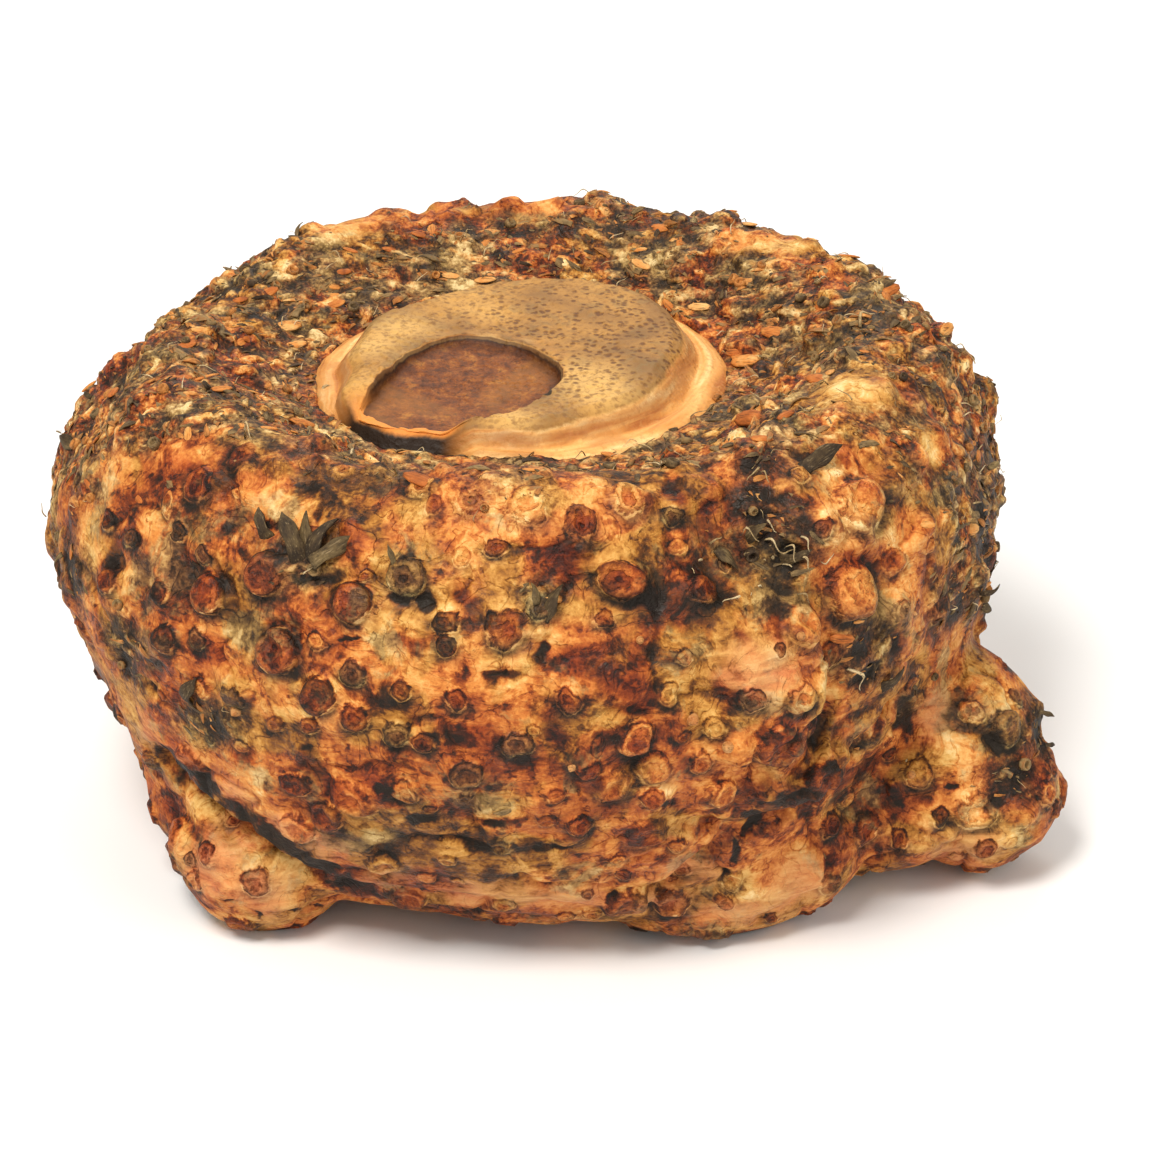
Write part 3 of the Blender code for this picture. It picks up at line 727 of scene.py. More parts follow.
def set_scar_values(mesh, points, level, angles):
    """Keeps what the scar's material reads."""
    turned = np.radians(angles)
    set_values(mesh, "level", level)
    set_values(mesh, "gap", gap_share(angles))
    set_values(mesh, "around", np.stack((np.cos(turned), np.sin(turned), ROW_GRAIN * level), axis=1))
    away = [np.hypot(points[:, 0] - x, points[:, 1] - y) / reach for x, y, reach in SCAR_CREAM_HIGHLIGHTS]
    set_values(mesh, "cream_highlight", np.clip(sum(np.exp(-(reach**2)) for reach in away), 0.0, 1.0))
    x, y, reach = SCAR_NOTCH
    set_values(mesh, "notch", np.exp(-((np.hypot(points[:, 0] - x, points[:, 1] - y) / reach) ** 4)))
    from_patch = np.hypot(points[:, 0] - STIPPLE_CENTRE[0], points[:, 1] - STIPPLE_CENTRE[1])
    faded = smooth(*STIPPLE_REACH, from_patch + noise(points, *STIPPLE_RAGGED))
    set_values(mesh, "stipple", 1.0 - STIPPLE_FADE * faded)


def scar_relief(points, level, turned):
    """The scar's swells and warts, the pit's crumbs, the lip's teeth and the collar's long folds, in mm."""
    flat = points * (1, 1, 0)
    warts = WART_HEIGHT * smooth(*WART_EDGE, noise(flat, *SCAR_WARTS)) * between(*PLATEAU, level)
    crumbs = noise(flat, *PIT_CRUMBS) * (1.0 - smooth(*PIT_ROWS, level))
    teeth = noise(flat, *LIP_TEETH) * between(*LIP_ROWS, level)
    around, outwards = FOLD_GRAIN
    drawn = np.stack((around * np.cos(turned), around * np.sin(turned), outwards * level), axis=1)
    folds = noise(drawn, *COLLAR_FOLDS) * between(*COLLAR_ROWS, level)
    return noise(points, *SCAR_SWELL) + warts + crumbs + folds + teeth


def scar_piece():
    """The scar as one closed mesh: a disc of rings, set to the radii and heights of the scar's profile."""
    counts = [row[0] for row in SCAR_PROFILE]
    mesh = ring_disc(sum(counts))
    points, level, angles = scar_points(mesh, counts)
    set_scar_values(mesh, points, level, angles)
    points[:, 2] += (level < RELIEF_END) * scar_relief(points, level, np.radians(angles))
    set_points(mesh, points)
    return merged(mesh, turned_out=True)


# Small dry parts

# A row that is placed by two pixels is left out where its length is more than this many times what it looks.
LONGEST_LAID = 2.2
# Lenses of orange skin by the photograph: pixel across, pixel down and half length in pixels.
NODULES_SEEN = (
    (267, 293, 10), (297, 311, 12), (334, 305, 13), (288, 326, 13), (332, 322, 10), (295, 345, 12),
    (221, 389, 12), (248, 389, 14), (303, 423, 14), (343, 272, 9), (571, 257, 11), (518, 251, 9),
    (485, 280, 12), (451, 276, 10), (667, 303, 10), (699, 307, 12), (776, 333, 14), (745, 361, 14),
    (735, 353, 9), (749, 418, 13), (762, 439, 12), (420, 480, 16), (560, 262, 9), (640, 250, 8),
    (200, 330, 10), (250, 340, 9), (180, 380, 12), (240, 300, 9), (690, 450, 10), (610, 455, 10),
    (530, 470, 9), (460, 462, 9), (390, 250, 9), (420, 235, 10), (820, 380, 12),
)
# Dried scales that stand in fans, by the photograph: foot pixel, then tip pixel.
BRACTS_SEEN = (
    (304, 562, 284, 514), (306, 562, 312, 512), (310, 563, 340, 520), (314, 566, 360, 534),
    (268, 540, 262, 508), (540, 616, 566, 590), (536, 606, 530, 584), (800, 470, 838, 452),
    (780, 560, 812, 548), (740, 540, 770, 524), (978, 592, 998, 584), (958, 622, 972, 642),
    (1036, 712, 1054, 716), (984, 512, 1000, 506), (186, 700, 200, 676), (975, 604, 994, 610),
    (984, 470, 1000, 462), (968, 340, 986, 334), (940, 312, 956, 304), (915, 296, 926, 284),
    (1044, 838, 1056, 850), (1040, 748, 1056, 744), (68, 556, 54, 566), (74, 446, 62, 438),
    (980, 560, 994, 548), (988, 640, 998, 650), (560, 196, 572, 188), (640, 206, 650, 196),
    (140, 335, 128, 330), (96, 400, 84, 392), (120, 664, 132, 640), (395, 566, 388, 546),
    (880, 690, 900, 664), (716, 548, 736, 570), (76, 500, 60, 502),
)
# Pale strands by the photograph: start pixel, then end pixel.
STRANDS_SEEN = (
    (776, 548, 792, 542), (790, 562, 803, 556), (744, 556, 752, 550), (708, 544, 718, 536),
    (754, 474, 738, 462), (754, 476, 748, 490), (760, 474, 770, 484), (694, 222, 694, 246),
    (796, 594, 808, 600), (320, 404, 332, 412), (520, 462, 540, 470), (566, 452, 580, 462),
    (470, 452, 486, 458), (352, 452, 362, 462), (246, 440, 258, 446), (860, 330, 872, 326),
    (760, 586, 748, 594), (742, 536, 760, 542), (764, 540, 780, 552), (772, 556, 790, 568),
    (784, 548, 796, 562), (796, 556, 810, 572), (750, 552, 764, 562), (768, 520, 780, 530),
    (800, 536, 808, 550), (700, 560, 690, 572), (735, 600, 722, 608), (820, 560, 830, 548),
    (906, 760, 918, 772), (846, 668, 856, 682),
)
# Buds with pale tips by the photograph: pixel across, pixel down and half width in pixels.
BUDS_SEEN = (
    (692, 719, 8), (728, 747, 9), (801, 636, 7), (572, 767, 6), (911, 775, 7), (237, 710, 6),
    (640, 640, 6),
)

# The forms of a dry scale: how much it curls and twists, and its width as a share of its length.
FLAKE_FORMS = (
    (0.3, 0.0, 0.36), (0.5, 0.6, 0.28), (0.2, -0.5, 0.42), (0.7, 0.3, 0.32), (0.4, -0.9, 0.22),
    (0.1, 0.4, 0.5), (0.25, 0.2, 0.6),
)
BRACT_FORMS = ((0.9, 0.5, 0.42), (0.6, -0.7, 0.5), (1.1, 0.1, 0.36), (0.5, 0.9, 0.3))
# Points of a small shape that lie nearer than this share of its length are one.
SHAPE_MERGE_REACH = 0.0001
# A dry scale's thickness, its outline, its ragged edge and the waves of that edge, its point, how deep it is
# cupped, and its least half width.
FLAKE_THICKNESS = 0.05
FLAKE_WIDEST, FLAKE_ROUNDING, FLAKE_FULLNESS, FLAKE_NARROWING = 0.8, 2.6, 2.9, 0.5
FLAKE_RAGGED = 0.22
FLAKE_WAVES, FLAKE_FORM_STEP, FLAKE_SIDE_STEP = 9.0, 40.0, 3.0
FLAKE_POINT = 8
FLAKE_CUP, FLAKE_CUP_POWER = 0.7, 1.5
FLAKE_TAPER = 0.03
# Bracts: least half width, cuts across and along, and the middle, reach and step of their tones.
BRACT_TAPER = 0.02
BRACT_CUTS = (5, 11)
BRACT_TONES = (0.28, 0.22, 2.4)
# Sides of a root stub, and sides and rings of a nodule and a bud.
STUB_SIDES, NODULE_CUTS, BUD_CUTS = 9, (9, 6), (14, 9)
# A root stub's walls: the radius of each ring, and how far it lies above the one before.
STUB_RINGS = ((0.5, 0.34), (0.46, 0.2), (0.34, 0.02), (0.27, -0.18), (0.2, -0.22))
NODULE_SHAPE = (1.0, 0.44, 0.15)
BUD_TAPER = 0.5
BUD_SIZE = 0.7
BUD_TONE = 0.6
# Fibres and strands: sides, cuts, tip and two waves, then thickness as a share of their length, and bends.
FIBRE_SIDES, FIBRE_CUTS, FIBRE_TIP = 4, 6, 0.25
FIBRE_WAVE, FIBRE_SWAY = (0.3, 7.0), (0.25, 5.0)
FIBRE_THICKNESS, FIBRE_BENDS = 0.045, (0.1, 0.3, -0.2)
STRAND_THICKNESS, STRAND_BENDS = 0.085, (0.45, -0.6, 0.8)

# Strewn parts: how many, their least and greatest length, how they stray from the flow and tilt off the skin,
# and how deep they sit, as a share of their length for scales and stubs and in mm for the others. A row of
# scales has their tilt, and the cuts across and along each one, at its end.
FLAKE_SETS = (("scales_large", 1300, 3.0, 6.8, 0.1, 1, 4), ("scales_small", 4800, 1.2, 3.4, 0.22, 0, 3))
FLAKE_FAVOUR, FLAKE_STRAY, FLAKE_SINK = 1.7, 0.35, 0.06
NODULES, NODULE_SIZES, NODULE_STRAY, NODULE_TILT, NODULE_SINK = 110, (3.0, 7.5), 0.4, 0.15, 0.1
STUBS, STUB_SIZES, STUB_TURNS, STUB_TILT, STUB_SINK = 130, (1.8, 3.4), 6.0, 0.35, 0.12
FIBRES, FIBRE_SIZES, FIBRE_STRAY, FIBRE_TILT, FIBRE_SINK = 260, (1.6, 5.0), 1.0, 0.25, -0.6
STRAND_TILT, STRAND_LIFT, STRAND_TONES = 0.15, 0.7, (0.3, 1.0)
BRACT_TILT, BRACT_LIFT = 0.14, 0.5
# How likely a spot off the crown is to get a scale, a nodule or stub, and a fibre.
FLAKE_CHANCE, NODULE_CHANCE, FIBRE_CHANCE = 0.005, 1e-6, 0.002
# No small part is strewn on the scar, or low on the sides.
SCAR_MARGIN = 2.0
LOWEST_STREWN = (6.0, 12.0)
# Each copy's own pattern lies this many mm from the next one's.
OWN_STEP = 11.0


def shape_of(work):
    """The points and faces of a finished small shape."""
    bmesh.ops.remove_doubles(work, verts=work.verts, dist=SHAPE_MERGE_REACH)
    bmesh.ops.recalc_face_normals(work, faces=work.faces)
    work.verts.index_update()
    points = np.array([vert.co for vert in work.verts])
    faces = [[vert.index for vert in face.verts] for face in work.faces]
    work.free()
    return points, faces


def flake_shape(form, cuts, lengths, taper=FLAKE_TAPER):
    """One dry scale, a closed sliver one unit long, as points and faces."""
    curl, twist, width = form
    work = bmesh.new()
    bmesh.ops.create_cube(work, size=1.0)
    bmesh.ops.scale(work, vec=(1.0, width, FLAKE_THICKNESS), verts=work.verts)
    long_edges = [e for e in work.edges if abs(e.verts[0].co.x - e.verts[1].co.x) > 0.5]
    bmesh.ops.subdivide_edges(work, edges=long_edges, cuts=lengths, use_grid_fill=True)
    wide_edges = [e for e in work.edges if abs(e.verts[0].co.y - e.verts[1].co.y) > 0.5 * width]
    if cuts:
        bmesh.ops.subdivide_edges(work, edges=wide_edges, cuts=cuts, use_grid_fill=True)
    for vert in work.verts:
        along = vert.co.x + 0.5
        rounded = 1.0 - abs(2.0 * along - FLAKE_WIDEST) ** FLAKE_ROUNDING / FLAKE_FULLNESS
        rounded = rounded * (1.0 - FLAKE_NARROWING * along)
        side = FLAKE_SIDE_STEP * math.copysign(1.0, vert.co.y)
        wave = math.sin(FLAKE_WAVES * along + FLAKE_FORM_STEP * width + side)
        vert.co.y *= rounded * (1.0 - along**FLAKE_POINT) * (1.0 + FLAKE_RAGGED * wave) + taper
        curled = curl * (0.25 - (along - 0.5) ** 2) + twist * vert.co.y * along
        vert.co.z += curled - FLAKE_CUP * abs(vert.co.y) ** FLAKE_CUP_POWER
    return shape_of(work)


def stub_shape():
    """One dried root stub: a short tube with a hollow end, one unit across."""
    work = bmesh.new()
    bmesh.ops.create_circle(work, cap_ends=False, radius=0.5, segments=STUB_SIDES)
    rim = list(work.edges)
    for reach, rise in STUB_RINGS:
        made = bmesh.ops.extrude_edge_only(work, edges=rim)["geom"]
        fresh = [item for item in made if isinstance(item, bmesh.types.BMVert)]
        rim = [item for item in made if isinstance(item, bmesh.types.BMEdge)]
        rim = [edge for edge in rim if edge.verts[0] in fresh and edge.verts[1] in fresh]
        for vert in fresh:
            flat = Vector((vert.co.x, vert.co.y, 0)).normalized()
            vert.co = flat * reach + Vector((0, 0, vert.co.z + rise))
    bmesh.ops.holes_fill(work, edges=work.edges)
    return shape_of(work)


def nodule_shape():
    """One small lens of bare skin, a unit long."""
    work = bmesh.new()
    sides, rings = NODULE_CUTS
    bmesh.ops.create_uvsphere(work, u_segments=sides, v_segments=rings, radius=0.5)
    bmesh.ops.scale(work, vec=NODULE_SHAPE, verts=work.verts)
    return shape_of(work)


def bud_shape():
    """One small dormant bud, a cone with a blunt cream tip, one unit across."""
    work = bmesh.new()
    sides, rings = BUD_CUTS
    bmesh.ops.create_uvsphere(work, u_segments=sides, v_segments=rings, radius=0.5)
    for vert in work.verts:
        up = max(0.0, vert.co.z * 2.0)
        narrowed = 1.0 - BUD_TAPER * up**1.5
        vert.co = Vector((vert.co.x * narrowed, vert.co.y * narrowed, vert.co.z * (1.0 + BUD_TAPER * up)))
    return shape_of(work)


def fibre_shape(bend, thickness):
    """One thin dry fibre, a unit long, tapered and bent."""
    work = bmesh.new()
    bmesh.ops.create_cone(
        work, cap_ends=True, segments=FIBRE_SIDES, radius1=thickness, radius2=thickness * FIBRE_TIP, depth=1.0
    )
    sides = [e for e in work.edges if abs(e.verts[0].co.z - e.verts[1].co.z) > 0.5]
    bmesh.ops.subdivide_edges(work, edges=sides, cuts=FIBRE_CUTS)
    for vert in work.verts:
        along = vert.co.z + 0.5
        wave, sway = (reach * bend * math.sin(along * turns) for reach, turns in (FIBRE_WAVE, FIBRE_SWAY))
        lift = bend * math.sin(along * math.pi) + wave
        vert.co = Vector((along, vert.co.x + sway, vert.co.y + lift))
    return shape_of(work)


def add_piece(name, mesh, material, smooth_faces=True):
    """A piece of the corm that rides on its body, with the material it is given."""
    piece = bpy.data.objects.new(name, mesh)
    bpy.context.scene.collection.objects.link(piece)
    mesh.materials.clear()
    mesh.materials.append(material)
    mesh.polygons.foreach_set("use_smooth", [smooth_faces] * len(mesh.polygons))
    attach(piece, "root")
    return piece


def add_copies(name, shapes, laid, tilts, tones, material, smooth_faces=True):
    """A piece of many small copies: laid along the skin, tilted off it, scaled and toned."""
    spots, normals, along, sizes = laid
    along = unit(along - normals * (along * normals).sum(axis=1, keepdims=True))
    across = np.cross(normals, along)
    along, out = turned_about(along, across, -tilts), turned_about(normals, across, -tilts)
    frames = np.stack((along, across, out), axis=1)
    points, faces, values = [], [], {"tone": [], "raised": [], "own": []}
    start = 0
    for index, (spot, size) in enumerate(zip(spots, sizes)):
        shape, loops = shapes[index % len(shapes)]
        points.append(spot + (shape * size) @ frames[index])
        faces.extend([[corner + start for corner in loop] for loop in loops])
        values["tone"].append(np.full(len(shape), tones[index]))
        values["raised"].append(smooth(0.0, 1.0, (shape[:, 2] - shape[:, 2].min()) / np.ptp(shape[:, 2])))
        values["own"].append(shape * size + (0.0, 0.0, OWN_STEP * index))
        start += len(shape)
    mesh = bpy.data.meshes.new(name)
    mesh.from_pydata((np.concatenate(points) * METRES).tolist(), [], faces)
    for key, columns in values.items():
        set_values(mesh, key, np.concatenate(columns))
    add_piece(name, mesh, material, smooth_faces)


def laid_by_pixels(tree, rows):
    """For rows of start pixel and end pixel: the middles, normals, directions and lengths on the skin."""
    found = []
    for start_across, start_down, end_across, end_down in rows:
        start, end = seen_at(tree, start_across, start_down), seen_at(tree, end_across, end_down)
        if start is None:
            continue
        if end is None:
            sideways = RIGHT * (end_across - start_across) - UP * (end_down - start_down)
            end = (start[0] + sideways * PIXEL, start[1])
        across = math.dist((start_across, start_down), (end_across, end_down)) * PIXEL
        if np.linalg.norm(end[0] - start[0]) < LONGEST_LAID * across:
            found.append(((start[0] + end[0]) / 2, start[1] + end[1], end[0] - start[0]))
    spots, normals, along = (np.array(column) for column in zip(*found))
    return spots, unit(normals), along, np.linalg.norm(along, axis=1)


def settled(tree, spots, normals, sink):
    """The spots moved onto the finished skin and sunk into it."""
    placed = np.array([tree.find_nearest(Vector(spot))[0] for spot in spots])
    return placed - normals * np.reshape(sink, (-1, 1))


# Materials


def linear(code):
    """The linear colour of an sRGB hex value."""
    shares = [int(code[at : at + 2], 16) / 255 for at in (1, 3, 5)]
    return tuple(s / 12.92 if s <= 0.04045 else ((s + 0.055) / 1.055) ** 2.4 for s in shares) + (1.0,)


def per(size):
    """A pattern scale for features about size mm apart."""
    return 1.0 / (size * METRES)


# How rough each finish is, and how much it shines.
SKIN_GLOSS, SCAR_GLOSS, DRY_GLOSS, FLOOR_GLOSS = (0.5, 0.27), (0.62, 0.35), (0.7, 0.3), (0.9, 0.5)
# The forms of nodes: the kind, its sockets in the order of a recipe's values, its output and its settings.
SMOOTHSTEP = {"interpolation_type": "SMOOTHSTEP"}
FORMS = {
    "place": ("TexCoord", (), "Object", {}),
    "field": ("Attribute", (), "Fac", {}),
    "direction": ("Attribute", (), "Vector", {}),
    "stretched": ("Mapping", ("Vector", "Scale"), 0, {}),
    "noise": ("TexNoise", ("Vector", "Scale", "Detail", "Roughness", "Distortion"), 0, {}),
    "cells": ("TexVoronoi", ("Vector", "Scale", "Randomness"), 0, {}),
    "ramp": ("ValToRGB", ("Fac", "stops"), 0, {}),
    "mask": ("MapRange", ("Value", "From Min", "From Max", "To Max"), 0, SMOOTHSTEP),
    "range": ("MapRange", ("Value", "From Min", "From Max", "To Min", "To Max"), 0, {}),
    "sum": ("Math", (0, 1), 0, {"operation": "ADD"}),
    "times": ("Math", (0, 1), 0, {"operation": "MULTIPLY"}),
    "share": ("Math", (0, 1, 2), 0, {"operation": "MULTIPLY_ADD"}),
    "most": ("Math", (0, 1), 0, {"operation": "MAXIMUM"}),
    "amount": ("Math", (0,), 0, {"operation": "ABSOLUTE"}),
    "wave": ("Math", (0,), 0, {"operation": "COSINE"}),
    "laid": ("MixRGB", ("Fac", "Color2", "Color1"), 0, {}),
    "bump": ("Bump", ("Height", "Distance", "Strength", "Normal"), 0, {}),
}

# Stops run from dark to light: a place from 0 to 1, and an sRGB colour.
GOLDEN_SKIN = (
    (0.05, "#1A1008"), (0.2, "#391F0B"), (0.34, "#683B12"), (0.48, "#9F6826"), (0.62, "#C38D44"),
    (0.78, "#DAAF67"),
    (0.95, "#EDD39B"),
)
SALMON_SKIN = (
    (0.05, "#1C0F07"), (0.2, "#3D190A"), (0.34, "#74300F"), (0.48, "#AC5A22"), (0.62, "#CE833C"),
    (0.78, "#E1A962"),
    (0.95, "#F0D299"),
)
RED_SKIN = (
    (0.05, "#140704"), (0.22, "#431206"), (0.42, "#87340E"), (0.6, "#B85A22"), (0.78, "#D88746"),
    (0.95, "#EAB87C"),
)
SCURFY_SKIN = ((0.08, "#1A140B"), (0.28, "#3A2E1B"), (0.46, "#655736"), (0.62, "#9A8353"), (0.85, "#D8C08B"))
STIPPLE_STOPS = ((0.34, "#6E5029"), (0.46, "#8F6633"), (0.56, "#AE7E3C"), (0.68, "#C6964E"))
COLLAR_STOPS = ((0.3, "#AC652C"), (0.42, "#D49249"), (0.54, "#E4AE66"), (0.68, "#F0CB8C"))
PIT_STOPS = ((0.3, "#331607"), (0.43, "#602F0C"), (0.54, "#814514"), (0.66, "#A56A26"))
FLAKE_STOPS = (
    (0.0, "#23180D"), (0.18, "#423120"), (0.36, "#665234"), (0.52, "#8A7048"), (0.68, "#98602C"),
    (0.84, "#C07E3D"),
    (1.0, "#DDAE6C"),
)
BRACT_STOPS = ((0.0, "#1D150B"), (0.3, "#3D2E1B"), (0.55, "#655334"), (0.8, "#8F7A50"), (0.95, "#B9A276"))
NODULE_STOPS = ((0.0, "#7C3D16"), (0.35, "#B66528"), (0.65, "#D08A42"), (0.95, "#E6B672"))
BUD_STOPS = ((0.0, "#6E3212"), (0.5, "#B0713A"), (0.9, "#D3A56A"))
FIBRE_STOPS = ((0.0, "#54452C"), (0.5, "#AE9468"), (1.0, "#E6D3AA"))

# The skin's noises: name, size in mm, detail, roughness and distortion.
SKIN_NOISES = (
    ("broad", 28, 2.0, 0.5, 0.4), ("middle", 11, 4.0, 0.56, 0.7), ("torn", 4, 4.0, 0.6, 0.4),
    ("grit", 0.9, 2.0, 0.6, 0.0), ("scurf", 14, 5.0, 0.7, 0.5), ("blot", 9, 5.0, 0.62, 0.5),
    ("speck", 2.6, 2.0, 0.5, 0.3), ("hue", 19, 3.0, 0.55, 0.5), ("contour", 9, 3.0, 0.5, 1.2),
)

# Corky corm skin: dull and rough, blotched from cream over orange to near black, with ringed eyes, grey scurf
# and a matted crown. Each row has a part's name, its form, and then numbers or the names of earlier parts.
SKIN_RECIPE = (
    *((name, "noise", "place", per(size), *rest) for name, size, *rest in SKIN_NOISES),
    ("flat", "stretched", "place", (1.0, 1.0, 4.0)),
    ("streak", "noise", "flat", per(11), 4.0, 0.6, 0.8),
    ("ragged", "share", "torn", 1.3, -0.65),
    # The level is how light the skin is. Noises shift it first.
    ("level", "sum", "shade", -0.745), ("level", "share", "broad", 0.6, "level"),
    ("level", "share", "middle", 0.75, "level"), ("level", "share", "torn", 0.5, "level"),
    ("level", "share", "grit", 0.3, "level"), ("level", "share", "streak", 0.4, "level"),
    # Black marks, with ragged edges: dark skin, and painted shade in the crevices between the feet and the
    # body.
    ("well_in", "mask", "black", 0.0, 0.4),
    ("blackened", "share", "ragged", 1.8, "black"), ("blackened", "mask", "blackened", 0.25, 1.0, "well_in"),
    # Thin lines, painted light on raised parts and painted shade in hollow ones, blots and specks.
    ("lines", "sum", "contour", -0.5), ("lines", "amount", "lines"), ("lines", "mask", "lines", 0.03, 0.0),
    ("fine_lines", "mask", "blot", 0.56, 0.44, "lines"), ("level", "share", "fine_lines", -0.15, "level"),
    ("high", "mask", "relief", 0.0, 2.6), ("level", "share", "high", 0.12, "level"),
    ("hollow", "mask", "relief", 0.0, -1.8), ("level", "share", "hollow", -0.3, "level"),
    ("blots", "mask", "blot", 0.53, 0.66), ("level", "share", "blots", -0.26, "level"),
    ("specks", "mask", "speck", 0.56, 0.66), ("level", "share", "specks", -0.13, "level"),
    # Rosy ledges are calm and streaky.
    ("calm", "share", "streak", 1.1, 0.05), ("calmed", "times", "rosy", 0.7),
    ("level", "laid", "calmed", "calm", "level"),
    ("level", "share", "blackened", -0.4, "level"),
    # The crown's mat of scales, with painted shade at their rims and in the gaps between them.
    ("matted", "share", "scale", 0.42, -1.13), ("matted", "share", "torn", 1.4, "matted"),
    ("matted", "share", "middle", 0.7, "matted"), ("matted", "share", "grit", 0.8, "matted"),
    ("rim_gap", "mask", "rim", 0.6, 1.1), ("matted", "share", "rim_gap", -0.2, "matted"),
    ("matting", "times", "crown", 0.85), ("level", "laid", "matting", "matted", "level"),
    # Each eye's disc with fine rings, painted shade on its rim above and a painted highlight on its rim
    # below.
    ("away", "sum", "eye", "ragged"),
    ("shown", "mask", "crown", 0.9, 0.4, "eye_share"), ("disc", "mask", "away", 1.2, 0.8, "shown"),
    ("rings", "times", "away", 14.0), ("rings", "wave", "rings"), ("rings", "mask", "rings", -0.4, 1.0),
    ("eye_level", "share", "torn", 1.0, "eye_value"), ("eye_level", "share", "grit", 0.5, "eye_level"),
    ("eye_level", "share", "rings", -0.13, "eye_level"), ("eye_level", "sum", "eye_level", -0.71),
    ("eyed", "times", "disc", 0.66), ("level", "laid", "eyed", "eye_level", "level"),
    ("shaded_eye_rim", "mask", "eye_low", 0.5, -0.5, "shown"), ("shaded_eye_rim", "mask", "away", 1.24, 1.04, "shaded_eye_rim"),
    ("shaded_eye_rim", "mask", "away", 0.84, 1.0, "shaded_eye_rim"), ("level", "share", "shaded_eye_rim", -0.26, "level"),
    ("lit_eye_rim", "mask", "eye_low", -0.3, 0.5, "shown"),
    ("lit_eye_rim", "mask", "away", 1.24, 1.12, "lit_eye_rim"),
    ("lit_eye_rim", "mask", "away", 0.92, 1.02, "lit_eye_rim"), ("level", "share", "lit_eye_rim", 0.2, "level"),
    # The level picks a colour from each row of stops, and these are laid over each other.
    ("golden", "ramp", "level", GOLDEN_SKIN), ("salmon", "ramp", "level", SALMON_SKIN),
    ("reds", "ramp", "level", RED_SKIN), ("greys", "ramp", "level", SCURFY_SKIN),
    ("salmon_share", "mask", "hue", 0.4, 0.54), ("black_and_crevice_shade", "times", "blackened", 0.6),
    ("reddened", "mask", "hue", 0.6, 0.7), ("reddened", "most", "red", "reddened"),
    ("reddened", "times", "reddened", 0.85), ("greyed", "share", "scurfy", 0.12, "scurf"),
    ("greyed", "mask", "greyed", 0.54, 0.66, 0.7), ("greyed", "most", "greyed", "cool"),
    ("crown_grey", "mask", "scurf", 0.42, 0.58, 0.8), ("crown_grey", "times", "crown", "crown_grey"),
    ("greyed", "most", "greyed", "crown_grey"),
    ("blush", "mask", "level", 0.3, 0.6, 0.38), ("blush", "times", "rosy", "blush"),
    ("ground", "laid", "salmon_share", "salmon", "golden"),
    ("ground", "laid", "reddened", "reds", "ground"),
    ("ground", "laid", "greyed", "greys", "ground"),
    ("ground", "laid", "blush", "#C88463", "ground"),
    ("ground", "laid", "black_and_crevice_shade", "#1C140A", "ground"),
    ("dull", "range", "middle", 0.3, 0.7, 0.45, 0.8),
    ("eye_rings", "times", "rings", "disc"),
    ("normal", "bump", "grit", 0.35 * METRES, 0.6),
    ("normal", "bump", "torn", 1.5 * METRES, 0.6, "normal"),
    ("normal", "bump", "lines", -0.4 * METRES, 0.5, "normal"),
    ("normal", "bump", "streak", 1.4 * METRES, 0.4, "normal"),
    ("normal", "bump", "eye_rings", -0.5 * METRES, 0.6, "normal"),
    ("normal", "bump", "rim_gap", -0.8 * METRES, 0.4, "normal"),
)

